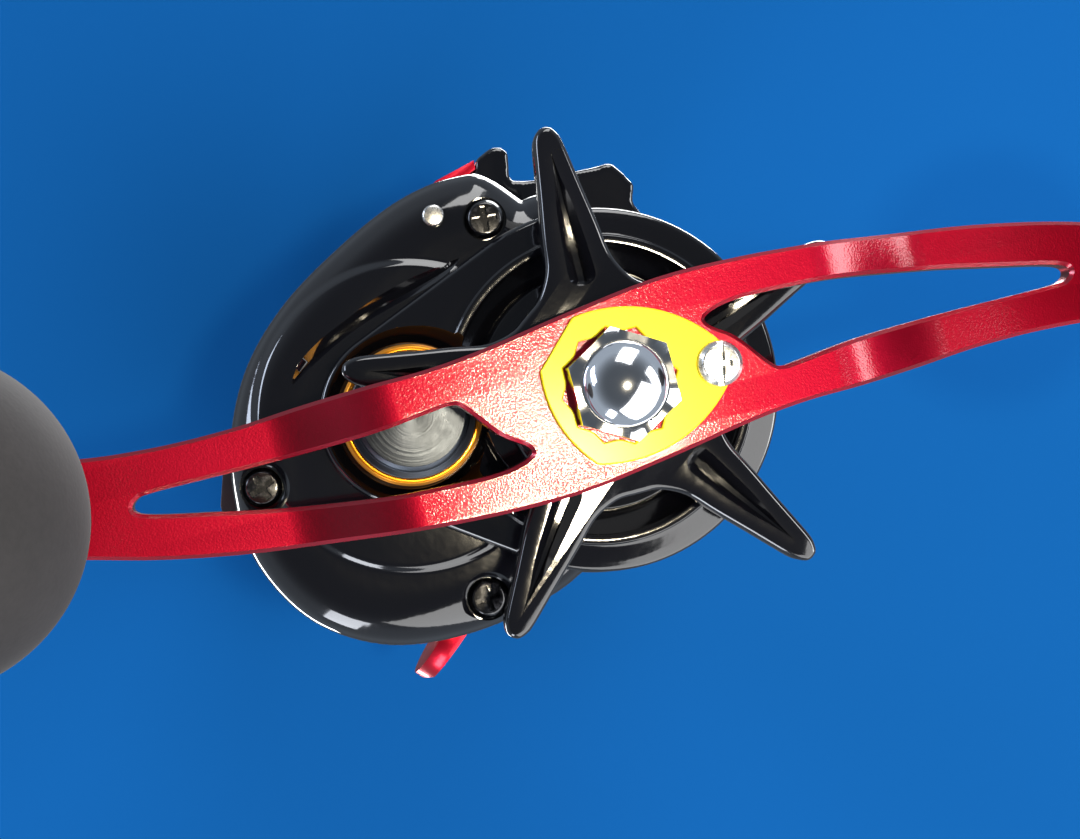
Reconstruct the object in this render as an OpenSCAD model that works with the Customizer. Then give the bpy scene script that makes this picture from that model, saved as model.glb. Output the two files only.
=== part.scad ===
// Low-profile baitcasting reel with a double power handle, for the left hand on
// the rod and the right hand on the handle.
// X points towards the rod tip, Z away from the rod and Y towards the palm side,
// so the handle side is at negative Y. The origin is the middle of the pad under
// the reel foot. Places in the side view are [x, z] pairs.

/* [Foot and frame] */
// Length of the reel foot
foot_length = 58; // [54:1:62]
// Width of the reel foot
foot_width = 12; // [10:0.5:13]
// Thickness of the reel foot at its middle
foot_thickness = 2.6; // [2.2:0.1:3]
// Thickness of each side plate of the frame
plate_thickness = 2.5; // [2:0.1:2.8]
// Clear width between the side plates
frame_inner_width = 28; // [27.6:0.1:28.4]

/* [Spool] */
// Height of the spool axis above the foot pad
spool_height = 20.5; // [20:0.1:21]
// Outer radius of the spool flanges
spool_radius = 15.2; // [14:0.1:15.4]
// Radius of the spool arbor that the line is wound on
arbor_radius = 7; // [5:0.5:9]
// Radius of the spool shaft
spool_shaft_radius = 1.5; // [1.4:0.05:1.5]

/* [Drive train] */
// Distance between the handle axis and the spool axis
centre_distance = 20; // [20:20]
// Module of the gears
gear_module = 0.5; // [0.5:0.5]
// Teeth on the main gear
main_teeth = 68; // [68:68]
// Teeth on the pinion
pinion_teeth = 12; // [12:12]
// Teeth on the line-guide gear of the drive shaft
guide_drive_teeth = 24; // [24:24]
// Teeth on the idler gear
idler_teeth = 16; // [16:16]
// Teeth on the worm-shaft gear
worm_teeth = 12; // [12:12]
// Radius of the drive shaft under the gears
shaft_radius = 3; // [2.8:0.1:3.2]

/* [Handle] */
// Distance from the drive axis to each knob axis
handle_radius = 66; // [62:1:70]
// Thickness of the handle blade
blade_thickness = 3.2; // [2.6:0.1:3.2]
// Step of the blade arms towards the reel
blade_crank = 3.5; // [2.5:0.1:3.6]
// Angle of the front arm below the X axis
handle_angle = 40.7; // [40.7:40.7]
// Radius of the ball knobs
knob_radius = 15.4; // [13:0.1:16]

/* [Star drag] */
// Radius to the tips of the star arms
star_radius = 27; // [24:0.5:28]
// Number of star arms
star_arms = 5; // [5:5]

/* [Line guide] */
// Radius of the worm shaft
worm_radius = 2.5; // [2.3:0.1:2.6]
// Inner radius of the guide ring
ring_bore = 1.7; // [1.4:0.1:1.9]

/* [Hidden] */
$fn = 64;
eps = 0.01;
run_gap = 0.05;

plate_in = frame_inner_width/2;
plate_out = plate_in + plate_thickness;
rim_y = 24.5;
shoulder_y = 27;
crown_y = 28.8;
round_y = 31;
palm_y = 30;
wall = 1.6;

drive = [8, 5.8];
spool = [drive[0] - sqrt(pow(centre_distance, 2) - pow(spool_height - drive[1], 2)),
         spool_height];
spool_angle = atan2(spool[1] - drive[1], spool[0] - drive[0]);
guide_line_angle = 50;
guide_drive_radius = guide_drive_teeth*gear_module/2;
idler_radius = idler_teeth*gear_module/2;
worm_gear_radius = worm_teeth*gear_module/2;
idler = polar(drive, guide_drive_radius + idler_radius, guide_line_angle);
worm = polar(idler, idler_radius + worm_gear_radius, guide_line_angle);

screw_places = [[16, 25.9], [-20.5, 28.8], [-16.6, 2.6]];
screw_tops = [28.4, 26.6, 27];
palm_screw_top = 25.9;
screw_head_radius = 2.1;
screw_shank_radius = 1.05;
counterbore_radius = 2.35;
pin_place = [13.1, 30.5];
guide_bar_place = [13.2, 17.2];
ring_place = [21.4, 24.2];

front_round_radius = 19.5;
worm_bulge = polar(drive, 16, 52);
worm_bulge_radius = 6;
// Edge shared by both covers, from the top front over the back to the bottom.
rear_edge = [[18.2, 31.2], [12.6, 34.6], [4.6, 36.9], [-4, 38.1], [-12, 37.2],
             [-19.6, 33.6], [-25.6, 27.8], [-28.5, 21.6], [-29, 15], [-26.6, 8.2],
             [-21.6, 2.5], [-15, -1.9], [-7.4, -4.4]];
frame_inset = 0.6;
bushing_radius = 2.7;
spool_opening = 15.9;
gear_height = 2.9;
main_gear_y = 19.3;
spool_half = 13.2;
guide_gears_near = 17.1;
guide_gears_far = 18.3;
pinion_start_y = 14.6;

// Depths of the cast-control cap and the parts under it.
end_bearing_y = 28.9;
cap_boss_y = 31.7;
shaft_end_y = 32.1;
cap_ring_y = 33.1;
cap_top_y = 35;
cap_scoop_radius = 8;
// The star's arms pass over the cap and under the handle blade.
star_arm_near = 35.4;
star_arm_far = 38.5;
star_first_arm = 49.3;

thumb_angle = 152;
thumb_reach = 19.4;
thumb = polar(spool, thumb_reach, thumb_angle);
thumb_travel = 4.2;
thumb_way = [-sin(thumb_angle), cos(thumb_angle)];
thumb_tail = polar(spool, 18, 163.5);
thumb_tail_radius = 0.8;
cam_arm_angle = 170.3;
screw_post_radius = 2.9;

yoke_posts = [for (s = [-1, 1]) polar(spool, 8, spool_angle + s*90)];

blade_top_y = 44;
blade_bottom_y = blade_top_y - blade_thickness;
arm_top_y = blade_top_y - blade_crank;
knob_drop = 3.9;
knob_reach = sqrt(pow(handle_radius, 2) - pow(knob_drop, 2));
knob_y = arm_top_y + 1.6 + knob_radius;
knob_stem_radius = 2;
keeper_screw_place = [10, -0.4];
nut_radius = 5.7;
nut_top_y = 48;
crank_start = 22;
crank_end = 34;

function polar(p, r, a) = [p[0] + r*cos(a), p[1] + r*sin(a)];
function turn_by(a, p) = [p[0]*cos(a) - p[1]*sin(a), p[0]*sin(a) + p[1]*cos(a)];
// Axis of the front knob (s = 1) or the rear one (s = -1).
function knob_place(s) = drive + s*turn_by(-handle_angle, [knob_reach, -knob_drop]);

// A smooth closed outline through a few points.
function spline_point(a, b, c, d, t) =
    0.5*((2*b) + (c - a)*t + (2*a - 5*b + 4*c - d)*t*t + (3*b - a - 3*c + d)*t*t*t);
function smooth(points, steps) =
    let (n = len(points))
    [for (i = [0 : n - 1], s = [0 : steps - 1])
        spline_point(points[(i + n - 1) % n], points[i], points[(i + 1) % n],
                     points[(i + 2) % n], s/steps)];

// Straight-flanked gear teeth, thinned for backlash.
function tooth_points(teeth, phase) =
    let (r = teeth*gear_module/2, root = r - 1.2*gear_module, tip = r + 0.9*gear_module,
         pitch = 360/teeth)
    [for (i = [0 : teeth - 1], c = [[root, -0.3], [tip, -0.13], [tip, 0.13], [root, 0.3]])
        [c[0]*cos(phase + (i + c[1])*pitch), c[0]*sin(phase + (i + c[1])*pitch)]];

// Extrudes a side-view outline between two depths on the handle side.
module slab(near, far) {
    translate([0, -near, 0]) rotate([90, 0, 0]) linear_extrude(far - near) children();
}

module rod(p, r, near, far) {
    translate([p[0], -near, p[1]]) rotate([90, 0, 0]) cylinder(r = r, h = far - near);
}

module tube(p, outer, inner, near, far) {
    difference() {
        rod(p, outer, near, far);
        rod(p, inner, near - 1, far + 1);
    }
}

// Turns a profile of [radius, depth] points about an axis along Y.
module turned(p) {
    translate([p[0], 0, p[1]]) rotate([90, 0, 0]) rotate_extrude() children();
}

module gear(p, teeth, bore, phase, near, far) {
    difference() {
        slab(near, far) translate(p) polygon(tooth_points(teeth, phase));
        rod(p, bore, near - 1, far + 1);
    }
}

// A cross recess and a straight slot cut into a screw head.
module drive_recess(p, top, turn, reach) {
    for (a = [0, 90]) {
        translate([p[0], -top, p[1]]) rotate([0, turn + a, 0])
            translate([-reach, -0.1, -0.3]) cube([2*reach, 0.9, 0.6]);
    }
}

module machine_screw(p, top, head_r, head_h, shank_r, inner, turn) {
    difference() {
        union() {
            rod(p, head_r, top - head_h, top);
            rod(p, shank_r, inner, top - head_h + eps);
        }
        drive_recess(p, top, turn, head_r*0.72);
    }
}

// ---- outlines in the side view ----

module handle_outline() {
    polygon(smooth(concat(rear_edge, [[2, -2], [12, 8], [19, 18], [20.4, 27.4]]), 5));
    translate(drive) circle(front_round_radius, $fn = 120);
    translate(worm_bulge) circle(worm_bulge_radius, $fn = 60);
}

module palm_outline() {
    polygon(smooth(concat(rear_edge, [[2, -3.9], [11, -0.8], [18.4, 4.6], [23.4, 12],
                                      [24.6, 20], [22.4, 27]]), 5));
}

module hood_cheek(side) {
    difference() {
        polygon([[14, 31.6], [17, 31.05], [21.55, 29.75], [22.4, 30.5], [24.6, 29.9],
                 [25.4, 28.9], [25.2, 27.9], [22.8, 26], [24.3, 24], [29.5, 19.3],
                 [31.2, 17.9], [30.7, 14.4], [28.9, 13.4], [27.4, 8], [22, 7.6]]);
        offset(delta = 0.1 - frame_inset) {
            if (side < 0) handle_outline();
            else palm_outline();
        }
    }
}

// ---- held still with the foot ----

module foot() {
    intersection() {
        translate([0, foot_width/2, 0]) rotate([90, 0, 0]) linear_extrude(foot_width)
            polygon([[-foot_length/2, 0.9], [-foot_length/2 + 1, 0], [foot_length/2 - 1, 0],
                     [foot_length/2, 0.9], [foot_length/2, 1.6], [14, foot_thickness],
                     [-16, foot_thickness], [-foot_length/2, 1.9]]);
        hull() {
            for (s = [-1, 1]) {
                translate([s*(foot_length - foot_width)/2, 0, -1])
                    cylinder(d = foot_width, h = 6);
            }
        }
    }
}

module frame_plate(side) {
    near = side < 0 ? plate_in : -plate_out;
    slab(near, near + plate_thickness) offset(delta = -frame_inset) {
        if (side < 0) handle_outline();
        else palm_outline();
    }
}

module spool_trough() {
    difference() {
        intersection() {
            rod(spool, 18.2, -plate_out + eps, plate_out - eps);
            slab(-plate_out + eps, plate_out - eps)
                polygon([spool, polar(spool, 60, 190), polar(spool, 60, 245),
                         polar(spool, 60, 302)]);
        }
        rod(spool, 16.2, -30, 30);
    }
}

module frame() color("firebrick") {
    difference() {
        union() {
            frame_plate(-1);
            frame_plate(1);
            spool_trough();
            foot();
            // floor between the trough and the foot
            translate([-16, -foot_width/2 - 4, 1.2]) cube([28, foot_width + 8, 2]);
            // rear crossbar under the thumb bar, lower front crossbar and top bridge
            slab(-plate_in - eps, plate_in + eps)
                polygon([[-26.8, 15.4], [-22.2, 15.4], [-22.2, 19.2], [-26.8, 19.2]]);
            slab(-plate_in - eps, plate_in + eps)
                polygon([[18.4, 7.6], [24.1, 7.6], [24.1, 10.4], [23.3, 11], [18.4, 11]]);
            slab(-plate_out, plate_out)
                polygon([[11, 34.3], [18, 32.7], [22.3, 30.6], [21.6, 29.9], [17, 31.2],
                         [11, 32.4]]);
        }
        // spool opening on the palm side and the relief on the handle side
        rod(spool, spool_opening, -plate_out - 1, -plate_in + 1);
        rod(spool, spool_opening, 0, plate_in + 0.4);
        // bearing seats
        rod(spool, 5, plate_in - 1, plate_out + 1);
        rod(drive, 4, plate_in - 1, plate_out + 1);
        rod(worm, bushing_radius, plate_in - 1, plate_out + 1);
        rod(worm, bushing_radius, -plate_out - 1, -plate_in + 1);
        rod(guide_bar_place, 1.2, -plate_out - 1, plate_out + 1);
        rod(idler, 1, plate_in - 1, plate_out + 1);
        for (p = yoke_posts) rod(p, 1.2, plate_in - 1, plate_out + 1);
        // screw holes
        for (p = screw_places) rod(p, screw_shank_radius, plate_in - 1, plate_out + 1);
        for (p = screw_places) rod(p, screw_shank_radius, -plate_out - 1, -plate_in + 1);
        for (y = [-11, 11]) {
            translate([19.4, y, 9.3]) rotate([0, 90, 0]) cylinder(r = 0.8, h = 10);
        }
        // slot for the thumb bar's tail
        slab(plate_in - 1, plate_out + 1) hull() {
            for (travel = [-0.2, thumb_travel + 0.2]) {
                translate(thumb_tail + travel*thumb_way) circle(thumb_tail_radius + 0.4, $fn = 32);
            }
        }
    }
}

module front_hood() color("#15151a") {
    difference() {
        union() {
            slab(plate_in - eps, plate_out) hood_cheek(-1);
            slab(-plate_out, eps - plate_in) hood_cheek(1);
            // upper lip
            slab(-plate_in, plate_in)
                polygon([[21.65, 29.8], [22.4, 30.5], [24.6, 29.9], [25.4, 28.9], [25.2, 27.9],
                         [24.2, 27.5], [21.4, 28.4]]);
            // lower lip
            slab(-plate_in, plate_in)
                polygon([[24.2, 7.6], [27.4, 8], [28.9, 13.4], [30.7, 14.4], [31.2, 17.9],
                         [29.5, 19.3], [27, 18.4], [24.6, 12.8]]);
        }
        for (y = [-11, 11]) {
            translate([19, y, 9.3]) rotate([0, 90, 0]) cylinder(r = 0.9, h = 12);
            translate([26.2, y, 9.3]) rotate([0, 90, 0]) cylinder(r = 1.9, h = 12);
        }
    }
}

module hood_screws() color("#202024") {
    for (y = [-11, 11]) {
        translate([0, y, 9.3]) rotate([0, 90, 0]) difference() {
            union() {
                translate([0, 0, 19.4]) cylinder(r = 0.8, h = 6.9);
                translate([0, 0, 26.2]) cylinder(r = 1.7, h = 1);
            }
            for (a = [0, 90]) {
                rotate([0, 0, a]) translate([-1.2, -0.25, 26.7]) cube([2.4, 0.5, 1]);
            }
        }
    }
}

module handle_side_cover() color("#101014") {
    difference() {
        union() {
            difference() {
                union() {
                    slab(plate_out, rim_y) handle_outline();
                    slab(rim_y - eps, shoulder_y) offset(delta = -1.5) handle_outline();
                    slab(shoulder_y - eps, crown_y) offset(delta = -3.5) handle_outline();
                    rod(drive, 17.6, shoulder_y - eps, round_y - 1.2);
                    rod(drive, 15.2, shoulder_y - eps, round_y);
                }
                // scoop round the cast-control cap
                rod(spool, cap_scoop_radius, crown_y - 0.2, 40);
            }
            rod(spool, 5, crown_y - 1, cap_boss_y);
            for (i = [0 : 2]) rod(screw_places[i], 3.3, rim_y - eps, screw_tops[i] + 0.2);
            rod(pin_place, 2, rim_y - eps, 28.6);
        }
        difference() {
            union() {
                slab(plate_out - 1, rim_y + 1) offset(delta = -wall) handle_outline();
                slab(rim_y, shoulder_y) offset(delta = -wall - 3.5) handle_outline();
                rod(drive, 15.4, plate_out - 1, 27.2);
            }
            for (i = [0 : 2]) rod(screw_places[i], screw_post_radius, plate_out, 30);
            rod(pin_place, 2, plate_out, 30);
            rod(spool, 6.4, 24.6, 30);
            tube(drive, 8.6, 7, 23.8, 30);
        }
        // room for the main gear and the worm gear
        rod(drive, 18, plate_out - 1, 23.4);
        rod(worm, 3.6, plate_out - 1, 18.6);
        // pinion bearing seat and the spool shaft's way out
        rod(spool, 4.5, 24.4, 27);
        rod(spool, 2.4, 26, 40);
        rod(spool, 3.5, end_bearing_y - 0.2, 40);
        // roller clutch seat and the way out for the sleeve
        rod(drive, 7, 20, 30);
        rod(drive, 5, 20, 40);
        // screws
        for (i = [0 : 2]) {
            rod(screw_places[i], 1.1, 10, 40);
            rod(screw_places[i], counterbore_radius, screw_tops[i] - 1.6, 40);
        }
        rod(pin_place, 1.15, 24, 40);
        rod(pin_place, 1.5, 28.2, 40);
    }
}

module palm_side_cover() color("#101014") {
    mirror([0, 1, 0]) difference() {
        union() {
            slab(plate_out, rim_y) palm_outline();
            slab(rim_y - eps, shoulder_y) offset(delta = -2) palm_outline();
            slab(shoulder_y - eps, palm_y - 1.2) offset(delta = -5) palm_outline();
            rod(spool, 10.5, shoulder_y - eps, palm_y);
        }
        difference() {
            union() {
                slab(plate_out - 1, rim_y) offset(delta = -wall) palm_outline();
                slab(rim_y - 1, shoulder_y) offset(delta = -wall - 5) palm_outline();
            }
            for (p = screw_places) rod(p, screw_post_radius, plate_out, 30);
            rod(spool, 5.6, 17.5, 30);
        }
        rod(spool, 4, 16, 20.6);
        rod(spool, 2.05, 16, 40);
        rod(spool, 8.8, 28.4, 40);
        for (p = screw_places) {
            rod(p, 1.1, 10, 40);
            rod(p, counterbore_radius, palm_screw_top - 1.5, 40);
        }
    }
}

module handle_cover_screws() color("#1b1b1f") {
    turns = [45, 20, 35];
    for (i = [0 : 2]) {
        machine_screw(screw_places[i], screw_tops[i], screw_head_radius, 1.5, screw_shank_radius,
                      plate_in + 0.3, turns[i]);
    }
}

module palm_cover_screws() color("#1b1b1f") {
    mirror([0, 1, 0]) {
        for (p = screw_places) {
            machine_screw(p, palm_screw_top, screw_head_radius, 1.5, screw_shank_radius,
                          plate_in + 0.3, 30);
        }
    }
}

module cover_pin() color("silver") {
    rod(pin_place, 1.15, 24.2, 28.6);
}

module guide_bar() color("silver") {
    rod(guide_bar_place, 1.2, -plate_out + 0.2, plate_out - 0.2);
}

module worm_bushings() color("#d8d2c4") {
    for (near = [plate_in, -plate_out]) {
        tube(worm, bushing_radius, 1.5 + run_gap, near + 0.1, near + plate_thickness - 0.1);
    }
}

module bearing(p, outer, inner, near, far) {
    difference() {
        rod(p, outer, near, far);
        rod(p, inner, near - 1, far + 1);
        for (side = [near - 1, far - 0.3]) {
            difference() {
                rod(p, outer - 0.6, side, side + 1.3);
                rod(p, inner + 0.6, side - 1, side + 3);
            }
        }
    }
}

module drive_shaft_bearing() color("silver") {
    bearing(drive, 4, 2, plate_in + 0.1, plate_out - 0.1);
}

module pinion_bearings() color("silver") {
    bearing(spool, 5, 3, plate_in + 0.1, plate_out - 0.1);
    bearing(spool, 4.5, 2.05, 25, 27);
}

module roller_clutch() color("#b9bcc2") {
    tube(drive, 7, 4.05, 24, 29.8);
}

module spool_end_bearings() color("silver") {
    bearing(spool, 3.5, spool_shaft_radius + run_gap, end_bearing_y, end_bearing_y + 2.2);
    mirror([0, 1, 0]) bearing(spool, 4, spool_shaft_radius + run_gap, 17.7, 20.4);
}

module idler_axle() color("silver") {
    rod(idler, 1, plate_in + 0.2, 18.9);
}

module yoke_posts() color("silver") {
    for (p = yoke_posts) {
        rod(p, 1.2, plate_in + 0.2, 24);
        rod(p, 2.1, 23.8, 24.5);
    }
}

module yoke_springs() color("silver") {
    for (p = yoke_posts) tube(p, 1.9, 1.35, 18.4, 23.8);
}

module thumb_bar_spring() color("silver") {
    translate([polar(spool, 17.4, 184)[0], 10.4, polar(spool, 17.4, 184)[1]])
        difference() {
            cylinder(r = 1.3, h = 5.2);
            translate([0, 0, -1]) cylinder(r = 0.9, h = 8);
        }
}

// ---- turning with the handle ----

module shaft_flats() {
    square([2*shaft_radius + 2, 4.4], center = true);
}

module drive_shaft() color("silver") {
    rod(drive, 1.95, plate_in - 0.4, 17);
    rod(drive, shaft_radius + 2, 16.6, 17);
    rod(drive, shaft_radius, 16.9, blade_bottom_y);
    intersection() {
        rod(drive, shaft_radius, blade_bottom_y - eps, blade_top_y);
        slab(40, blade_top_y + 1) translate(drive) rotate(-handle_angle) shaft_flats();
    }
    rod(drive, 2.4, blade_top_y - eps, nut_top_y + 0.4);
}

module guide_drive_gear() color("#c9a04a") {
    gear(drive, guide_drive_teeth, shaft_radius, guide_line_angle, guide_gears_near,
         guide_gears_far);
}

module ratchet() color("#8f9399") {
    difference() {
        slab(18.4, 19.1) translate(drive) {
            circle(6.6);
            for (a = [0 : 60 : 300]) rotate(a) translate([6.4, 0]) square([2.6, 2.4], center = true);
        }
        rod(drive, shaft_radius, 18, 20);
    }
}

module main_gear() color("#c9a04a") {
    difference() {
        gear(drive, main_teeth, 3.1, spool_angle, main_gear_y, main_gear_y + gear_height);
        rod(drive, 11, main_gear_y + 1.2, 30);
        for (a = [0 : 60 : 300]) rod(polar(drive, 13.6, a), 1.1, 10, 30);
    }
}

module drag_washer() color("#26262a") {
    tube(drive, 10.8, 3.3, 20.5, 21.2);
}

module pressure_plate() color("silver") {
    tube(drive, 10.6, shaft_radius, 21.2, 22.1);
}

module clutch_sleeve() color("silver") {
    difference() {
        union() {
            rod(drive, 4, 22.1, 30.4);
            rod(drive, 6, 22.1, 22.9);
        }
        rod(drive, shaft_radius, 20, 32);
    }
}

module spring_washers() color("#9ea2a8") {
    for (s = [0, 1]) {
        turned(drive)
            polygon(s == 0 ? [[3.2, 30.5], [4.6, 30.85], [4.6, 31.05], [3.2, 30.7]]
                           : [[3.2, 31.6], [4.6, 31.25], [4.6, 31.05], [3.2, 31.4]]);
    }
}

module handle_spacer() color("silver") {
    tube(drive, 4.4, shaft_radius, 39.3, blade_bottom_y);
}

// Outline of the blade's front half, [along, across]; the rear half is the
// same outline turned half round.
module blade_outline() {
    half = [[6, 9.3], [14, 9.4], [28, 8.3], [42, 6.4], [54, 3.5], [knob_reach - 3, 1.2],
            [knob_reach + 2.2, 0.4], [knob_reach + 4.8, -3.2], [knob_reach + 3, -7.6],
            [knob_reach - 2.5, -9], [54, -6.4], [44, -5.4], [32, -5.7], [20, -6.1],
            [11, -6.9], [3, -8.2]];
    polygon(smooth([for (s = [1, -1], p = half) s*p], 5));
}

module blade_window() {
    offset(r = 0.7) polygon(smooth([[11.2, 4.3], [14, 4.7], [20, 4.6], [34, 2.9], [45.5, 0.5],
                                    [47.6, -0.2], [45.5, -0.6], [34, -0.5], [22, -0.9], [16.6, -1.5],
                                    [14.6, 0.3]], 4));
}

module handle_blade() color("crimson") {
    far = handle_radius + 8;
    t = blade_thickness;
    translate([drive[0], 0, drive[1]]) rotate([0, handle_angle, 0]) difference() {
        intersection() {
            slab(30, 50) difference() {
                blade_outline();
                blade_window();
                rotate(180) blade_window();
            }
            translate([0, 0, -20]) linear_extrude(40)
                polygon([[-far, -arm_top_y], [-crank_end, -arm_top_y],
                         [-crank_start, -blade_top_y], [crank_start, -blade_top_y],
                         [crank_end, -arm_top_y], [far, -arm_top_y], [far, t - arm_top_y],
                         [crank_end - 1.2, t - arm_top_y], [crank_start - 1.2, t - blade_top_y],
                         [1.2 - crank_start, t - blade_top_y], [1.2 - crank_end, t - arm_top_y],
                         [-far, t - arm_top_y]]);
        }
        // flat-sided hole on the shaft, the two knob holes and the keeper screw's hole
        intersection() {
            rod([0, 0], shaft_radius, 30, 50);
            slab(30, 50) shaft_flats();
        }
        for (s = [1, -1]) rod([s*knob_reach, -s*knob_drop], 2.5, 30, 50);
        rod(keeper_screw_place, 1, 30, 50);
    }
}

module keeper_outline() {
    offset(r = 0.8) offset(delta = -0.8) intersection() {
        translate([-0.8, -6.4]) circle(14.1, $fn = 120);
        translate([-0.3, 6.6]) circle(14.1, $fn = 120);
        translate([5, 1.5]) circle(12.4, $fn = 120);
        rotate(45) translate([0, -2.6]) square([40, 20], center = true);
    }
}

module handle_nut() color("#d9dce2") {
    difference() {
        union() {
            slab(blade_top_y, nut_top_y) translate(drive) rotate(30 - handle_angle)
                circle(nut_radius, $fn = 6);
            turned(drive) polygon(concat([[0, nut_top_y - eps]],
                [for (a = [0 : 10 : 90]) [4.15*cos(a), nut_top_y - eps + 2.3*sin(a)]]));
        }
        rod(drive, 2.4, 43, nut_top_y + 0.6);
    }
}

module nut_keeper() color("gold") {
    translate([drive[0], 0, drive[1]]) rotate([0, handle_angle, 0])
        slab(blade_top_y, blade_top_y + 0.8) difference() {
            keeper_outline();
            for (a = [0, 30]) rotate(a) circle(nut_radius + 0.17, $fn = 6);
            translate(keeper_screw_place) circle(1.1);
        }
}

module keeper_screw() color("silver") {
    machine_screw(drive + turn_by(-handle_angle, keeper_screw_place), blade_top_y + 2,
                  2.25, 1.2, 1, 42, -37);
}

module knob_shafts() color("silver") {
    for (s = [1, -1]) {
        p = knob_place(s);
        rod(p, 2.5, arm_top_y - blade_thickness - 0.6, arm_top_y + 0.5);
        rod(p, 3.4, arm_top_y, arm_top_y + 0.9);
        rod(p, knob_stem_radius, arm_top_y, arm_top_y + 24);
    }
}

module knob_ball(s) color("#3b3b3d") {
    p = knob_place(s);
    r = knob_radius;
    difference() {
        turned(p) polygon(concat([[0, knob_y - r + 0.6], [r*0.42, knob_y - r + 0.6]],
            [for (a = [-58 : 8 : 62]) [r*cos(a), knob_y + r*sin(a)]],
            [[r*0.4, knob_y + r - 1.1], [0, knob_y + r - 1.1]]));
        rod(p, 4.2, 20, knob_y + r - 2.6);
        rod(p, 5.2, knob_y + r - 2.8, 90);
    }
}

module knob_core(s) color("#1a1a1c") {
    p = knob_place(s);
    difference() {
        union() {
            rod(p, 4.2, arm_top_y + 1.2, knob_y + knob_radius - 2.6);
            rod(p, 5.4, arm_top_y + 1.2, arm_top_y + 2.2);
        }
        rod(p, knob_stem_radius + run_gap, 20, arm_top_y + 24.4);
        rod(p, 2.6, arm_top_y + 24, 90);
    }
}

module knob_cap(s) color("#1a1a1c") {
    p = knob_place(s);
    rod(p, 5.1, knob_y + knob_radius - 2.6, knob_y + knob_radius - 0.8);
    rod(p, 2.5, arm_top_y + 25, knob_y + knob_radius - 2.4);
}

module knob_rear() knob_ball(-1);
module knob_core_rear() knob_core(-1);
module knob_cap_rear() knob_cap(-1);
module knob_front() knob_ball(1);
module knob_core_front() knob_core(1);
module knob_cap_front() knob_cap(1);

module star_arm() {
    half = [[4, 5.6], [9, 4.2], [13, 2.9], [19, 2.2], [star_radius - 1.8, 1.5]];
    polygon(smooth(concat(half, [[star_radius, 0]],
                          [for (i = [4 : -1 : 0]) [half[i][0], -half[i][1]]]), 4));
}

module star_drag() color("#0c0c10") {
    difference() {
        union() {
            rod(drive, 9.2, 32.4, star_arm_far);
            rod(drive, 6.4, 31.6, 39.2);
            for (i = [0 : star_arms - 1]) {
                slab(star_arm_near, star_arm_far) translate(drive)
                    rotate(star_first_arm + i*360/star_arms) star_arm();
            }
        }
        rod(drive, shaft_radius + run_gap, 20, 50);
        // a narrow groove along each arm
        for (i = [0 : star_arms - 1]) {
            slab(star_arm_far - 0.8, 42) translate(drive)
                rotate(star_first_arm + i*360/star_arms)
                polygon([[12.5, -1.2], [star_radius - 3, 0], [12.5, 1.2]]);
        }
    }
}

// ---- spool ----

// The drum with its hollow ends.
module spool() color("#7e8188") {
    difference() {
        rod(spool, arbor_radius, -spool_half, spool_half);
        rod(spool, spool_shaft_radius, -30, 30);
        for (side = [0, 1]) {
            mirror([0, side, 0]) difference() {
                rod(spool, arbor_radius - 0.8, 5, 20);
                rod(spool, 3.2, 4, 20);
            }
        }
    }
}

// The two rims, with holes through them to save weight.
module spool_flanges() color("#7e8188") {
    r = spool_radius;
    for (side = [0, 1]) {
        mirror([0, side, 0]) difference() {
            turned(spool)
                polygon([[arbor_radius, 10.4], [arbor_radius + 1, 11.4], [r - 0.6, 12.1],
                         [r, 12.4], [r, 12.9], [r - 0.6, spool_half],
                         [arbor_radius, spool_half]]);
            for (a = [0 : 30 : 330]) rod(polar(spool, 11.4, a), 1.5, -20, 20);
        }
    }
}

module spool_shaft() color("silver") {
    difference() {
        rod(spool, spool_shaft_radius, -20.2, shaft_end_y);
        translate([spool[0], -15.1, spool[1]]) rotate([0, -spool_angle, 0])
            rotate([0, 90, 0]) cylinder(r = 0.5, h = 8, center = true);
    }
}

module clutch_pin() color("silver") {
    translate([spool[0], -15.1, spool[1]]) rotate([0, -spool_angle, 0])
        rotate([0, 90, 0]) cylinder(r = 0.5, h = 4.8, center = true);
}

// ---- clutch ----

module pinion() color("#d8b55a") {
    difference() {
        union() {
            rod(spool, 2.95, pinion_start_y, 17.3);
            rod(spool, 2.1, 17.2, 18.7);
            slab(18.6, 23.4) translate(spool)
                polygon(tooth_points(pinion_teeth, spool_angle + 180 + 180/pinion_teeth));
            rod(spool, 2, 23.3, 27.2);
        }
        rod(spool, spool_shaft_radius + run_gap, 0, 40);
        translate([spool[0], -15.15, spool[1]]) rotate([0, -spool_angle, 0])
            cube([8, 1.5, 1.3], center = true);
    }
}

module clutch_yoke() color("#c8c3b6") {
    difference() {
        slab(17.5, 18.4) {
            hull() {
                for (p = yoke_posts) translate(p) circle(2.2, $fn = 32);
            }
            intersection() {
                translate(spool) circle(4.6);
                translate(spool) rotate(spool_angle) translate([0, -5]) square(10);
            }
        }
        for (p = yoke_posts) rod(p, 1.2 + run_gap, 10, 30);
        rod(spool, 2.25, 10, 30);
        slab(10, 30) translate(spool) rotate(spool_angle) translate([-8, -2.25])
            square([8, 4.5]);
    }
}

module clutch_cam() color("#e4e0d4") {
    difference() {
        slab(16.7, 17.3) {
            translate(spool) circle(6.6, $fn = 64);
            hull() {
                translate(polar(spool, 6, cam_arm_angle)) circle(1.6, $fn = 32);
                translate(polar(spool, 18, cam_arm_angle)) circle(1.2, $fn = 32);
            }
        }
        rod(spool, 5.2, 10, 30);
    }
}

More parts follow.
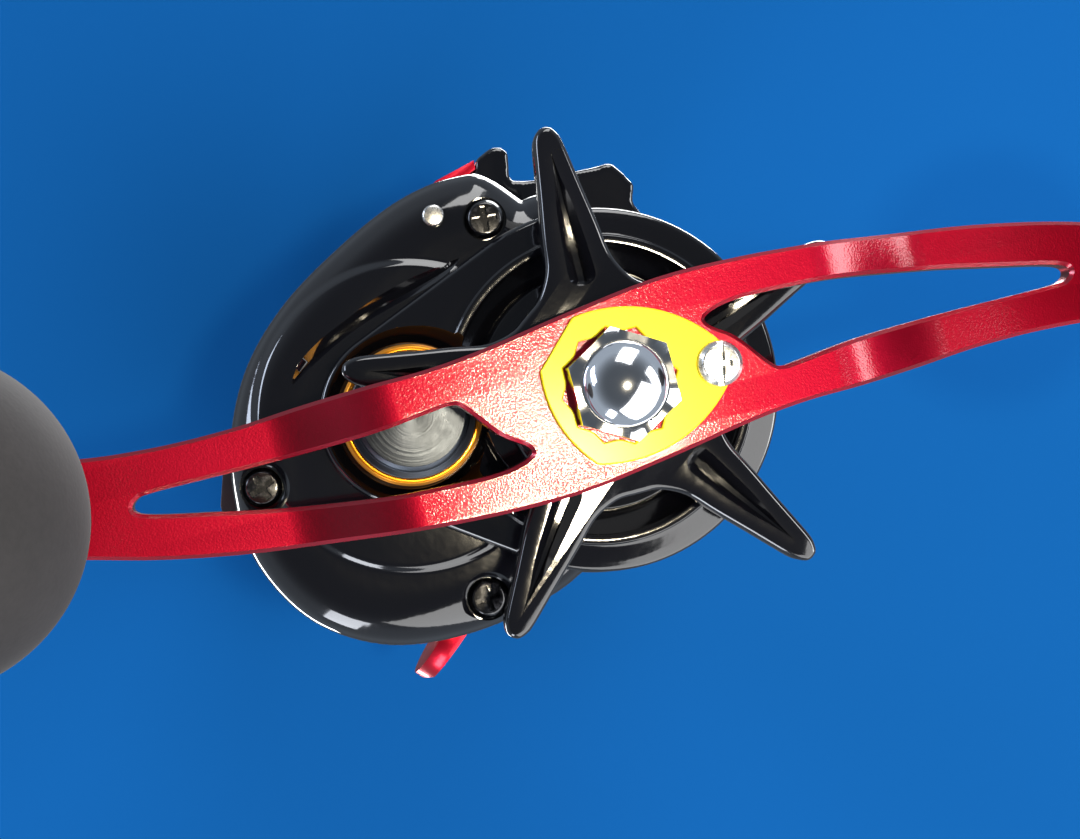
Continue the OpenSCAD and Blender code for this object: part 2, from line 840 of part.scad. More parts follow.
module thumb_bar() color("#141418") {
    translate([thumb[0], 13.6, thumb[1]]) rotate([90, 0, 0]) linear_extrude(27.2)
        rotate(thumb_angle) hull() {
            translate([-0.2, -3]) circle(1.6, $fn = 32);
            translate([-0.2, 3]) circle(1.6, $fn = 32);
            translate([1.6, 0]) circle(1.6, $fn = 32);
        }
    rod(thumb_tail, thumb_tail_radius, 13, 17.3);
}

// ---- line guide ----

module idler_gear() color("#e4e0d4") {
    gear(idler, idler_teeth, 1 + run_gap, guide_line_angle + 180 + 180/idler_teeth,
         guide_gears_near, guide_gears_far);
}

module worm_shaft() color("silver") {
    rod(worm, worm_radius, -plate_in + 0.15, plate_in - 0.15);
    rod(worm, 1.5, -plate_out + 0.2, 18.5);
}

module worm_gear() color("#e4e0d4") {
    gear(worm, worm_teeth, 1.5, guide_line_angle, guide_gears_near, guide_gears_far);
}

module line_guide() color("#141418") {
    difference() {
        union() {
            rod(worm, 4.1, -3.5, 3.5);
            slab(-1.6, 1.6) hull() {
                translate(worm) circle(3.4, $fn = 48);
                translate([ring_place[0], ring_place[1] - 1]) circle(1.6, $fn = 32);
            }
            translate([ring_place[0] - 1.6, 0, ring_place[1]]) rotate([0, 90, 0])
                cylinder(r = 3.1, h = 3.2);
            slab(-2.4, 2.4) hull() {
                translate(worm) circle(2.8, $fn = 48);
                translate(guide_bar_place) circle(2, $fn = 32);
            }
            translate([worm[0], 0, worm[1] - 5.2]) cylinder(r = 2.2, h = 3);
        }
        rod(worm, worm_radius + run_gap, -10, 10);
        rod(guide_bar_place, 1.2 + run_gap, -10, 10);
        translate([ring_place[0] - 5, 0, ring_place[1]]) rotate([0, 90, 0])
            cylinder(r = 2.3, h = 10);
        translate([worm[0], 0, worm[1] - 8]) cylinder(r = 1.5, h = 8);
    }
}

module guide_ring() color("#2c2c33") {
    translate([ring_place[0], 0, ring_place[1]]) rotate([0, 90, 0]) rotate_extrude()
        polygon([[2.3, -1.5], [2.1, -1.75], [ring_bore + 0.1, -1.3], [ring_bore, 0],
                 [ring_bore + 0.1, 1.3], [2.1, 1.75], [2.3, 1.5]]);
}

module pawl() color("#b88a3c") {
    translate([worm[0], 0, worm[1] - 4.4]) cylinder(r = 1.45, h = 1.8);
}

module pawl_cap() color("silver") {
    translate([worm[0], 0, worm[1] - 6]) difference() {
        union() {
            cylinder(r = 2.2, h = 0.8);
            cylinder(r = 1.5, h = 1.6);
        }
        translate([-2.5, -0.25, -0.5]) cube([5, 0.5, 0.9]);
    }
}

// ---- cast control and brake ----

module cast_cap() color("#c9ccd2") {
    difference() {
        union() {
            rod(spool, 5.75, cap_top_y - 1.3, cap_top_y);
            rod(spool, 6.6, shaft_end_y, cap_top_y - 1.2);
        }
        rod(spool, 5.3, 30, shaft_end_y + 0.6);
    }
}

module cast_cap_ring() color("orange") {
    difference() {
        union() {
            rod(spool, 7.4, 29.2, cap_ring_y);
            rod(spool, 7, cap_ring_y - 0.1, cap_ring_y + 0.4);
        }
        rod(spool, 5 + run_gap, 28, shaft_end_y + 0.1);
        rod(spool, 6.6, shaft_end_y, 40);
        for (a = [0 : 20 : 340]) rod(polar(spool, 7.75, a), 0.55, 28, cap_ring_y - 0.6);
    }
}

module cast_cap_shim() color("#d8b55a") {
    rod(spool, 2.6, shaft_end_y + 0.1, shaft_end_y + 0.6);
}

module magnet_carrier() color("#1f1f24") {
    mirror([0, 1, 0]) difference() {
        rod(spool, 12, 14.8, 16.6);
        rod(spool, 5.7, 10, 20);
        for (a = [0 : 60 : 300]) rod(polar(spool, 9, a), 2, 10, 16);
    }
}

module brake_magnets() color("#c4c7cc") {
    mirror([0, 1, 0]) {
        for (a = [0 : 60 : 300]) rod(polar(spool, 9, a), 2, 14.5, 16);
    }
}

module brake_dial() color("#17171b") {
    mirror([0, 1, 0]) difference() {
        union() {
            rod(spool, 8.6, 28.6, 31);
            rod(spool, 2, 21.4, 28.7);
        }
        for (a = [0 : 20 : 340]) rod(polar(spool, 9, a), 0.7, 28, 40);
        translate([spool[0] - 6, -31.5, spool[1] - 0.6]) cube([12, 1, 1.2]);
    }
}

frame();
front_hood();
hood_screws();
handle_side_cover();
palm_side_cover();
handle_cover_screws();
palm_cover_screws();
cover_pin();
guide_bar();
worm_bushings();
drive_shaft_bearing();
pinion_bearings();
roller_clutch();
spool_end_bearings();
idler_axle();
yoke_posts();
yoke_springs();
thumb_bar_spring();
drive_shaft();
guide_drive_gear();
ratchet();
main_gear();
drag_washer();
pressure_plate();
clutch_sleeve();
spring_washers();
handle_spacer();
handle_blade();
handle_nut();
nut_keeper();
keeper_screw();
knob_shafts();
star_drag();
knob_rear();
knob_core_rear();
knob_cap_rear();
knob_front();
knob_core_front();
knob_cap_front();
spool();
spool_flanges();
spool_shaft();
clutch_pin();
pinion();
clutch_yoke();
clutch_cam();
thumb_bar();
idler_gear();
worm_shaft();
worm_gear();
line_guide();
guide_ring();
pawl();
pawl_cap();
cast_cap();
cast_cap_ring();
cast_cap_shim();
magnet_carrier();
brake_magnets();
brake_dial();
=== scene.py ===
"""The looks of a low-profile baitcasting reel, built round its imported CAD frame."""
import math

import bmesh
import bpy
import numpy as np
from mathutils import Matrix, Vector
from mathutils.geometry import tessellate_polygon


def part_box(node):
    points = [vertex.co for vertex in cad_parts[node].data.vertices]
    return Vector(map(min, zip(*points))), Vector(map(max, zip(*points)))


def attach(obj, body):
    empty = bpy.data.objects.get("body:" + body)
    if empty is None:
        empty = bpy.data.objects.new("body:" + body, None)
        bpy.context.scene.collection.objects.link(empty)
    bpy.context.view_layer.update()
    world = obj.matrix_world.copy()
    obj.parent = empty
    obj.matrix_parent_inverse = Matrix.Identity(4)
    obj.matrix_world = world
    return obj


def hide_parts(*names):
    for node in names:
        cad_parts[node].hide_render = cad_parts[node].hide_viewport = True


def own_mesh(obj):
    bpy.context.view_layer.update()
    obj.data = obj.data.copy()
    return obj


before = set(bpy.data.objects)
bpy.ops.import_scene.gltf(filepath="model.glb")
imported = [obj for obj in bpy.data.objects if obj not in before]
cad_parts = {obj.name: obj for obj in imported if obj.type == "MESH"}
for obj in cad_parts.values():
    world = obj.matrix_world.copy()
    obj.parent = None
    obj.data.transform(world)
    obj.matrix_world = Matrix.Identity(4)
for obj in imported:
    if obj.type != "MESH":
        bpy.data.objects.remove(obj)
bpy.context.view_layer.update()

# ---- Camera, backdrop and studio lights ----
# The reel lies on its palm side on a blue sheet, and the camera looks down on the handle
# side. Large softboxes draw the streaks in the black covers, and one small hard lamp
# behind the camera gives the hot spot on the red handle.


def colour(code):
    """Linear RGBA of an sRGB hex colour."""
    parts = [int(code[i:i + 2], 16) / 255 for i in (1, 3, 5)]
    return [c / 12.92 if c <= 0.04045 else ((c + 0.055) / 1.055) ** 2.4 for c in parts] + [1.0]


def add(tree, kind, settings=None, links=None):
    """Adds a node to a tree, with its settings and its incoming links."""
    node = tree.nodes.new(kind)
    for key, value in (settings or {}).items():
        if isinstance(key, int) or key in node.inputs:
            node.inputs[key].default_value = value
        else:
            setattr(node, key, value)
    for key, source in (links or {}).items():
        tree.links.new(source, node.inputs[key])
    return node


def new_material(name):
    material = bpy.data.materials.new(name)
    material.use_nodes = True
    material.node_tree.nodes.clear()
    return material, material.node_tree


def surface(tree, settings, links=None):
    """Ends a material's tree with its one shader."""
    shader = add(tree, "ShaderNodeBsdfPrincipled", settings, links)
    add(tree, "ShaderNodeOutputMaterial", links={"Surface": shader.outputs[0]})


back_of_camera = Vector((-0.0757, -0.9939, 0.0805)).normalized()
right_of_camera = Vector((0.5669, -0.1093, -0.8165))
right_of_camera = (right_of_camera - right_of_camera.dot(back_of_camera) * back_of_camera).normalized()
top_of_camera = back_of_camera.cross(right_of_camera)
camera_place = (-0.0140, -0.2379, 0.0260)
camera = bpy.data.objects.new("camera", bpy.data.cameras.new("camera"))
camera.matrix_world = Matrix.Translation(camera_place) @ Matrix(
    (right_of_camera, top_of_camera, back_of_camera)).transposed().to_4x4()
camera.data.sensor_width = 36
camera.data.lens = 66.67
camera.data.clip_start = 0.01
bpy.context.scene.collection.objects.link(camera)
bpy.context.scene.camera = camera
bpy.context.scene.view_settings.view_transform = "Standard"

sheet_paper, tree = new_material("blue_paper_sheet")
facing = add(tree, "ShaderNodeNewGeometry")
paper = add(tree, "ShaderNodeBsdfDiffuse", {"Color": colour("#0E4C88")})
clear = add(tree, "ShaderNodeBsdfTransparent")
either = add(tree, "ShaderNodeMixShader", links={
    0: facing.outputs["Backfacing"], 1: paper.outputs[0], 2: clear.outputs[0]})
add(tree, "ShaderNodeOutputMaterial", links={"Surface": either.outputs[0]})
sheet_half, sheet_depth = 0.6, 0.0335
backdrop_mesh = bpy.data.meshes.new("backdrop")
backdrop_mesh.from_pydata([(x * sheet_half, sheet_depth, z * sheet_half)
                           for x, z in ((-1, -1), (1, -1), (1, 1), (-1, 1))],
                          [], [(0, 1, 2, 3)])
backdrop_mesh.materials.append(sheet_paper)
backdrop = bpy.data.objects.new("backdrop", backdrop_mesh)
bpy.context.scene.collection.objects.link(backdrop)
backdrop.visible_shadow = backdrop.visible_glossy = backdrop.visible_transmission = False


def lamp(name, right, up, back, size, watts, tint="#FFFFFF", aim=(0.004, -0.03, 0.014)):
    """An area lamp placed by its distances from the aim, along the camera's own axes."""
    data = bpy.data.lights.new(name, "AREA")
    data.shape = "RECTANGLE"
    data.size, data.size_y = size
    data.energy = watts
    data.color = colour(tint)[:3]
    away = right * right_of_camera + up * top_of_camera + back * back_of_camera
    lamp_object = bpy.data.objects.new(name, data)
    facing_aim = away.to_track_quat("Z", "Y").to_matrix().to_4x4()
    lamp_object.matrix_world = Matrix.Translation(Vector(aim) + away) @ facing_aim
    bpy.context.scene.collection.objects.link(lamp_object)


lamp("hot_key", 0.136, -0.001, 0.585, (0.04, 0.04), 1.3, "#FFF0D0", aim=(-0.0035, -0.044, 0.005))
lamp("upper_softbox", 0.16, 0.62, 0.40, (0.60, 0.34), 3.6)
lamp("left_softbox", -0.62, 0.20, 0.34, (0.16, 0.50), 3, "#DCE8FF")
lamp("right_softbox", 0.60, 0.05, 0.30, (0.20, 0.55), 3)
lamp("lower_right_softbox", 0.40, -0.34, 0.36, (0.80, 0.66), 6)
lamp("under_softbox", -0.20, -0.62, 0.30, (0.40, 0.16), 2, "#F2F6FF")
lamp("palm_softbox", 0.15, 0.45, -0.55, (0.5, 0.4), 7)
lamp("palm_strip", -0.45, -0.30, -0.50, (0.15, 0.6), 5)

# The room round the lamps is dark in front of the reel and paler at its sides, as the walls
# of a small light tent are.
world = bpy.data.worlds.new("studio")
world.use_nodes = True
tree = world.node_tree
tree.nodes.clear()
ray = add(tree, "ShaderNodeLightPath")
way = add(tree, "ShaderNodeTexCoord")
parts = add(tree, "ShaderNodeSeparateXYZ", links={0: way.outputs["Generated"]})
depth = add(tree, "ShaderNodeMath", {"operation": "ABSOLUTE"}, {0: parts.outputs[1]})
walls = add(tree, "ShaderNodeMapRange",
            {"interpolation_type": "SMOOTHSTEP", "From Min": 0.92, "From Max": 0.35,
                                         "To Min": 0.16, "To Max": 0.7}, {"Value": depth.outputs[0]})
seen = add(tree, "ShaderNodeBackground", {"Color": colour("#D6E4EC"), "Strength": 1.0})
dim = add(tree, "ShaderNodeBackground", {"Color": colour("#C4D0DE")}, {"Strength": walls.outputs[0]})
both = add(tree, "ShaderNodeMixShader",
           links={0: ray.outputs["Is Camera Ray"], 1: dim.outputs[0], 2: seen.outputs[0]})
add(tree, "ShaderNodeOutputWorld", links={"Surface": both.outputs[0]})
bpy.context.scene.world = world

# ---- Handle side cover ----
# The moulded shell over the gears, in ABS with a polished black lacquer. A band runs along
# its upper edge, a raised plateau joins the round over the main gear to the scoop round the
# cast-control cap, and three screws hold it to the side plate.
# Shaft axes in the side view, in millimetres: (along the rod, above the foot).
axis_distance, axis_rise = 20, 14.7
drive = (8.0, 5.8)
spool_axis = (drive[0] - math.sqrt(axis_distance ** 2 - axis_rise ** 2), 20.5)


def shape(name, points, faces, finish, sharp=32, outward=True):
    """A mesh object from points in millimetres, smooth except at edges sharper than an angle."""
    mesh = bpy.data.meshes.new(name)
    mesh.from_pydata([tuple(0.001 * c for c in p) for p in points], [], faces)
    if outward:
        form = bmesh.new()
        form.from_mesh(mesh)
        bmesh.ops.remove_doubles(form, verts=form.verts, dist=1e-7)
        bmesh.ops.recalc_face_normals(form, faces=form.faces)
        form.to_mesh(mesh)
        form.free()
    mesh.materials.append(finish)
    made = bpy.data.objects.new(name, mesh)
    bpy.context.scene.collection.objects.link(made)
    soften(mesh, sharp)
    return made


def soften(mesh, sharp):
    mesh.shade_smooth()
    mesh.set_sharp_from_angle(angle=math.radians(sharp))


def fillet(corners, closed=False, steps=5):
    """Rounds the corners of a path. Each corner is (x, y) or (x, y, radius)."""
    path = []
    count = len(corners)
    for i, corner in enumerate(corners):
        here = Vector(corner[:2])
        radius = corner[2] if len(corner) > 2 else 0
        if not radius or (not closed and i in (0, count - 1)):
            path.append(tuple(here))
            continue
        before = Vector(corners[i - 1][:2]) - here
        after = Vector(corners[(i + 1) % count][:2]) - here
        half = before.angle(after) / 2
        reach = min(radius / math.tan(half), 0.49 * before.length, 0.49 * after.length)
        bow = reach * math.tan(half)
        centre = here + (before.normalized() + after.normalized()).normalized() * (bow / math.sin(half))
        first, last = here + before.normalized() * reach, here + after.normalized() * reach
        for s in range(steps + 1):
            spot = centre + ((first - centre).lerp(last - centre, s / steps)).normalized() * bow
            path.append(tuple(spot))
    return path


def lathe(profile, axis, turns=96, ring=False):
    """Points and faces of a profile of (radius, depth) turned about an axis along Y."""
    points, faces, rows = [], [], []
    for radius, depth in profile:
        if radius < 1e-6:
            rows.append([len(points)] * turns)
            points.append((axis[0], -depth, axis[1]))
            continue
        rows.append(list(range(len(points), len(points) + turns)))
        points += [(axis[0] + radius * math.cos(2 * math.pi * t / turns), -depth,
                    axis[1] + radius * math.sin(2 * math.pi * t / turns)) for t in range(turns)]
    pairs = list(zip(rows, rows[1:])) + ([(rows[-1], rows[0])] if ring else [])
    for low, high in pairs:
        for t in range(turns):
            face = [low[t], low[(t + 1) % turns], high[(t + 1) % turns], high[t]]
            face = list(dict.fromkeys(face))
            if len(face) > 2:
                faces.append(tuple(face))
    return points, faces


def together(*parts):
    """One list of points and one of faces from several."""
    points, faces = [], []
    for some_points, some_faces in parts:
        faces += [tuple(i + len(points) for i in face) for face in some_faces]
        points += list(some_points)
    return points, faces


def spline(points, steps, closed=True):
    """A smooth path through a few points."""
    count = len(points)
    path = []
    for i in range(count if closed else count - 1):
        a, b, c, d = (np.array(points[j % count if closed else max(0, min(count - 1, j))], float)
                      for j in (i - 1, i, i + 1, i + 2))
        for s in range(steps):
            t = s / steps
            path.append(tuple(0.5 * (2 * b + (c - a) * t + (2 * a - 5 * b + 4 * c - d) * t * t
                                     + (3 * b - a - 3 * c + d) * t ** 3)))
    if not closed:
        path.append(tuple(np.array(points[-1], float)))
    return path


def belong(piece, body, node=None):
    """Says which body a piece rides on and the CAD node it stands in for."""
    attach(piece, body)
    if node:
        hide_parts(node)


def settle_modifiers(piece):
    """Runs a piece's modifiers and keeps the result as its plain mesh."""
    mesh = bpy.data.meshes.new_from_object(piece.evaluated_get(bpy.context.evaluated_depsgraph_get()))
    piece.modifiers.clear()
    mesh.name = piece.name
    piece.data = mesh
    return mesh


def cut(target, *cutters):
    """Cuts closed shapes out of a piece and drops them."""
    for cutter in cutters:
        boolean = target.modifiers.new("cut", "BOOLEAN")
        boolean.operation = "DIFFERENCE"
        boolean.solver = "MANIFOLD"
        boolean.object = cutter
    soften(settle_modifiers(target), 32)
    for cutter in cutters:
        bpy.data.objects.remove(cutter)


def ray_reach(outline, centre, angles):
    """How far a closed outline is from a centre inside it, along each angle."""
    start = np.array(outline, float) - centre
    end = np.roll(start, -1, axis=0)
    reach = np.zeros(len(angles))
    for n, angle in enumerate(angles):
        way = np.array([math.cos(angle), math.sin(angle)])
        side_start = start[:, 0] * way[1] - start[:, 1] * way[0]
        side_end = end[:, 0] * way[1] - end[:, 1] * way[0]
        hit = (side_start <= 0) != (side_end <= 0)
        share = side_start[hit] / (side_start[hit] - side_end[hit])
        along = (start[hit] + (end[hit] - start[hit]) * share[:, None]) @ way
        reach[n] = along.max()
    return reach


def edge_distance(outline, spots):
    """Shortest distance from each spot to a closed outline."""
    start = np.array(outline, float)
    run = np.roll(start, -1, axis=0) - start
    length = (run ** 2).sum(1)
    nearest = np.full(len(spots), 1e9)
    for a, r, l in zip(start, run, length):
        away = spots - a
        share = np.clip(away @ r / l, 0, 1)
        nearest = np.minimum(nearest, ((away - share[:, None] * r) ** 2).sum(1))
    return np.sqrt(nearest)


def ramp(low, high, value):
    t = np.clip((value - low) / (high - low), 0, 1)
    return t * t * (3 - 2 * t)


piano_black, tree = new_material("polished_black_lacquer")
# ABS, sprayed black and clear coated: a deep mirror with a very faint orange peel, about
# 1.5 mm from crest to crest, and dust-fine haze.
place = {"Vector": add(tree, "ShaderNodeTexCoord").outputs["Object"]}
peel = add(tree, "ShaderNodeTexNoise", {"Scale": 650.0, "Detail": 2.0}, place)
haze = add(tree, "ShaderNodeTexNoise", {"Scale": 90.0, "Detail": 5.0, "Roughness": 0.6}, place)
haze_range = add(tree, "ShaderNodeMapRange", {"To Min": 0.05, "To Max": 0.13},
                 {"Value": haze.outputs["Fac"]})
peel_bump = add(tree, "ShaderNodeBump", {"Strength": 0.03, "Distance": 0.0004},
                {"Height": peel.outputs["Fac"]})
surface(tree, {
    "Base Color": colour("#0B0B0F"), "IOR": 1.5, "Coat Weight": 0.6, "Coat Roughness": 0.03,
               "Coat IOR": 1.5},
    {"Roughness": haze_range.outputs[0], "Normal": peel_bump.outputs[0]})

rear_edge = [(18.2, 31.2), (12.6, 34.6), (4.6, 36.9), (-4, 38.1), (-12, 37.2), (-19.6, 33.6), (-25.6, 27.8),
             (-28.5, 21.6), (-29, 15), (-26.6, 8.2), (-21.6, 2.5), (-15, -1.9), (-7.4, -4.4)]
# The gear's round, and a smaller round further out over the idler gear.
gear_round, nose_turn, nose_out, nose_round = 19.5, math.radians(52), 16, 6.0


def polar(centre, radius, angle):
    return centre[0] + radius * math.cos(angle), centre[1] + radius * math.sin(angle)


def circle(centre, radius, count=90):
    return [polar(centre, radius, 2 * math.pi * i / count) for i in range(count)]


rays = 720
ray_angles = np.arange(rays) * 2 * math.pi / rays
cover_reach = np.maximum.reduce([
    ray_reach(spline(rear_edge + [(2, -2), (12, 8), (19, 18), (20.4, 27.4)], 12), drive, ray_angles),
    np.where(np.abs(np.angle(np.exp(1j * (ray_angles - nose_turn)))) < 0.33,
             ray_reach(circle(drive, gear_round, rays), drive, ray_angles), gear_round),
])
toward = np.cos(ray_angles - nose_turn) * nose_out
aside = np.sin(ray_angles - nose_turn) * nose_out
inside = nose_round ** 2 - aside ** 2
cover_reach = np.maximum(cover_reach,
                         np.where((inside > 0) & (toward > 0), toward + np.sqrt(np.maximum(inside, 0)), 0))
cover_outline = [polar(drive, r, a) for r, a in zip(cover_reach, ray_angles)]

# Plateau: a round over the gear and the scoop's rim, joined by two tangents.
plateau_round, scoop_rim = 19.1, 9.4
spool_way = math.atan2(spool_axis[1] - drive[1], spool_axis[0] - drive[0])
lean = math.asin((plateau_round - scoop_rim) / axis_distance)
waist = [polar(drive, plateau_round, a)
         for a in np.linspace(spool_way + math.pi / 2 - lean, spool_way + 1.5 * math.pi + lean, 80)]
waist += [polar(spool_axis, scoop_rim, a)
          for a in np.linspace(spool_way - math.pi / 2 + lean, spool_way + math.pi / 2 - lean, 60)]
plateau_reach = np.minimum(ray_reach(waist, drive, ray_angles), cover_reach - 0.35)

# Round over the gear: [radius, height] of its fixed rings, from the shaft hole outwards.
round_rings = fillet([(5.0, 30.0), (5.0, 30.6, 0.2), (9.4, 30.6, 0.2), (9.8, 29.3, 0.2), (12.5, 29.2, 0.2),
                      (12.8, 28.9), (13.1, 29.2, 0.1), (15.2, 30.2, 0.15), (15.35, 31.0, 0.15),
                      (16.15, 31.0, 0.1),
                      (16.3, 30.75, 0.1), (16.6, 30.7)], steps=3)
plateau_rings, crown_rings = 14, 96
joint_face, wall, shoulder = 16.5, 1.4, 24.2


def cover_height(x, z, edge, plateau, share):
    """Height of the outer face. share runs from 0 at the round to 1 at the plateau's edge."""
    from_spool = np.hypot(x - spool_axis[0], z - spool_axis[1])
    from_drive = np.hypot(x - drive[0], z - drive[1])
    round_over = np.clip(edge / 6.5, 0, 1)
    crown = 24.5 + 4.2 * (1 - (1 - round_over) ** 2.3) ** (1 / 2.3)
    crown = crown - 0.35 * ramp(15.6, 16.6, from_spool)
    crown = crown - 0.0016 * np.maximum(from_drive - 18, 0) ** 2 * ramp(0, 8, edge)
    top = 30.7 - 0.25 * share - 0.045 * np.maximum(from_drive - 18, 0)
    return np.where(plateau, top, crown)


def ring(axis, radius, depth):
    """One ring of points about an axis, from the radius and the depth along each ray."""
    radius, depth = np.broadcast_to(radius, (rays,)), np.broadcast_to(depth, (rays,))
    return np.stack([axis[0] + radius * np.cos(ray_angles), depth, axis[1] + radius * np.sin(ray_angles)],
                    1)


def ring_faces(count):
    """Faces of a closed grid of rings, the last joined to the first."""
    faces = []
    for i in range(count):
        low, high = i * rays, (i + 1) % count * rays
        faces += [(low + t, high + t, high + (t + 1) % rays, low + (t + 1) % rays) for t in range(rays)]
    return faces


def side_wall(add_ring, reach):
    """The wall round a cover and its step at the joint face, inside and out."""
    for height in np.linspace(shoulder, joint_face + 0.4, 6):
        add_ring(reach, height)
    for inwards, height in ((0.1, joint_face + 0.1), (0.3, joint_face), (wall, joint_face)):
        add_ring(reach - inwards, height)


def cover_shell():
    """Outer face, side wall and inner face of the cover, as one closed grid round the drive axis."""
    cos, sin = np.cos(ray_angles), np.sin(ray_angles)
    rows = []

    def row(radius, height):
        rows.append(ring(drive, radius, -np.asarray(height)))

    def edge_at(radius):
        spot = np.stack([drive[0] + radius * cos, drive[1] + radius * sin], 1)
        return edge_distance(cover_outline[::3], spot)

    for r, h in round_rings:
        row(r, h)
    rim = plateau_reach - 0.5
    for s in np.linspace(0.08, 1, plateau_rings):
        radius = 16.6 + (rim - 16.6) * s
        x, z = drive[0] + radius * cos, drive[1] + radius * sin
        row(radius, cover_height(x, z, 9, True, s))
    top = cover_height(drive[0] + rim * cos, drive[1] + rim * sin, 9, True, 1.0)
    foot_radius = np.minimum(plateau_reach + 0.15, cover_reach - 0.1)
    foot = cover_height(drive[0] + foot_radius * cos, drive[1] + foot_radius * sin, edge_at(foot_radius),
                        False, 1.0)
    for turn in (25, 50, 75, 90):
        a = math.radians(turn)
        row(rim + 0.5 * math.sin(a), top - 0.5 * (1 - math.cos(a)))
    row(np.minimum(plateau_reach + 0.08, cover_reach - 0.2), np.minimum(top - 0.5, foot + 0.15))
    for s in np.linspace(0, 1, crown_rings) ** 0.8:
        radius = foot_radius + (cover_reach - foot_radius) * s
        x, z = drive[0] + radius * cos, drive[1] + radius * sin
        row(radius, cover_height(x, z, edge_at(radius), False, 1.0))
    side_wall(row, cover_reach)
    row(cover_reach - wall, 23.2)
    row(cover_reach - 5.0, 26.2)
    for r, h in ((15.4, 26.9), (7.0, 26.9), (7.0, 29.9), (5.0, 29.9)):
        row(r, h)
    return np.concatenate(rows).tolist(), ring_faces(len(rows))


screw_places = [(16, 25.9), (-20.5, 28.8), (-16.6, 2.6)]
screw_tops = [28.4, 26.6, 27.0]
pin_place = (13.1, 30.5)

side_cover = shape("handle_side_shell", *cover_shell(), piano_black)


def leaf_cutter():
    """A long leaf-shaped groove with a V section, between the band and the crown."""
    upper = spline([(-9.8, 32.5), (-7.6, 33.1), (-4.6, 32.7), (-1.2, 31.7), (2.4, 30.5), (6, 28.8), (9, 27),
                    (10.9, 25.8)], 8, closed=False)
    lower = spline([(-9.8, 32.3), (-7.2, 31.8), (-3.8, 31), (-0.4, 29.9), (3, 28.4), (6.2, 26.8),
                    (8.9, 25.8), (10.9, 25.6)], 8, closed=False)
    points, faces = [], []
    for i, (u, l) in enumerate(zip(upper, lower)):
        middle = [(u[k] + 2 * l[k]) / 3 for k in (0, 1)]
        edge = edge_distance(cover_outline[::3], np.array([middle]))
        face = float(cover_height(middle[0], middle[1], edge, False, 1.0)[0])
        deep = 0.08 + 0.62 * math.sin(math.pi * min(1, (i + 0.3) / (len(upper) - 0.7)) ** 0.8)
        points += [(u[0], -30.5, u[1]), (l[0], -30.5, l[1]), (l[0], -face + 0.03, l[1]),
                   (middle[0], deep - face, middle[1]), (u[0], -face + 0.03, u[1])]
    last = len(upper) - 1
    for a in range(0, 5 * last, 5):
        faces += [(a + k, a + 5 + k, a + 5 + (k + 1) % 5, a + (k + 1) % 5) for k in range(5)]
    faces += [(0, 1, 2, 3, 4), tuple(5 * last + k for k in (4, 3, 2, 1, 0))]
    return points, faces


# Recesses: one counterbore for each screw, the pin's, the scoop round the cap, the way for
# the spool shaft's boss, and the leaf groove. Each profile is (radius, height).
bore_radius, post_radius, screw_hole, clear_of_cover = 2.35, 2.9, 1.1, 40
recesses = [
    lathe([(0, top - 1.6), (bore_radius, top - 1.6), (bore_radius, top + 0.1), (post_radius, top + 0.7),
                   (post_radius, clear_of_cover), (0, clear_of_cover)], place)
            for place, top in zip(screw_places, screw_tops)]
recesses.append(lathe([(0, 28.0), (1.5, 28.0), (1.5, 28.3), (1.75, 28.6), (1.75, clear_of_cover),
                       (0, clear_of_cover)],
                      pin_place))
recesses.append(
    lathe(fillet([(0, 28.4), (7.75, 28.4, 0.3), (8.9, 30.0), (10.5, 31.6), (10.5, clear_of_cover),
                              (0, clear_of_cover)], steps=4), spool_axis, 128))
recesses.append(lathe([(0, 20), (4.9, 20), (4.9, clear_of_cover), (0, clear_of_cover)], spool_axis))
recesses.append(leaf_cutter())
cut(side_cover, *[shape("recess", *recess, piano_black) for recess in recesses])

posts = [lathe([(screw_hole, joint_face + 0.1), (post_radius, joint_face + 0.1), (post_radius, top - 1.7),
                (2.6, top - 1.5),
                (screw_hole, top - 1.5)], place, 48, ring=True)
         for place, top in zip(screw_places, screw_tops)]
boss = lathe(fillet([(2.4, 27.0), (5.0, 27.0), (5.0, 31.7, 0.3), (3.5, 31.7, 0.2), (3.5, 28.7),
                     (2.4, 28.7)], closed=True, steps=3), spool_axis, 64, ring=True)
cover_details = shape("handle_side_bosses", *together(*posts, boss), piano_black)
belong(side_cover, "reel_body", "handle_side_cover")
belong(cover_details, "reel_body")

# ---- Handle blade ----
# A double arm cut from 3 mm aluminium plate, cranked towards the reel, bead blasted and
# anodised red. Its edges were cut again after blasting, so the chamfers are bright.
handle_turn = math.radians(-40.7)
half_span, knob_offset = 66, 3.9
knob_reach = math.sqrt(half_span ** 2 - knob_offset ** 2)


def inset(loop, distance):
    """Moves a closed loop inwards, for a loop that runs anticlockwise."""
    loop = np.array(loop, float)
    before = loop - np.roll(loop, 1, axis=0)
    after = np.roll(loop, -1, axis=0) - loop
    before /= np.linalg.norm(before, axis=1)[:, None]
    after /= np.linalg.norm(after, axis=1)[:, None]
    normal = np.stack([-(before + after)[:, 1], (before + after)[:, 0]], 1)
    normal /= np.linalg.norm(normal, axis=1)[:, None]
    stretch = np.clip((normal * np.stack([-before[:, 1], before[:, 0]], 1)).sum(1), 0.5, 1)
    return (loop + normal * (distance / stretch)[:, None]).tolist()


def area(loop):
    return sum(a[0] * b[1] - b[0] * a[1] for a, b in zip(loop, loop[1:] + loop[:1])) / 2


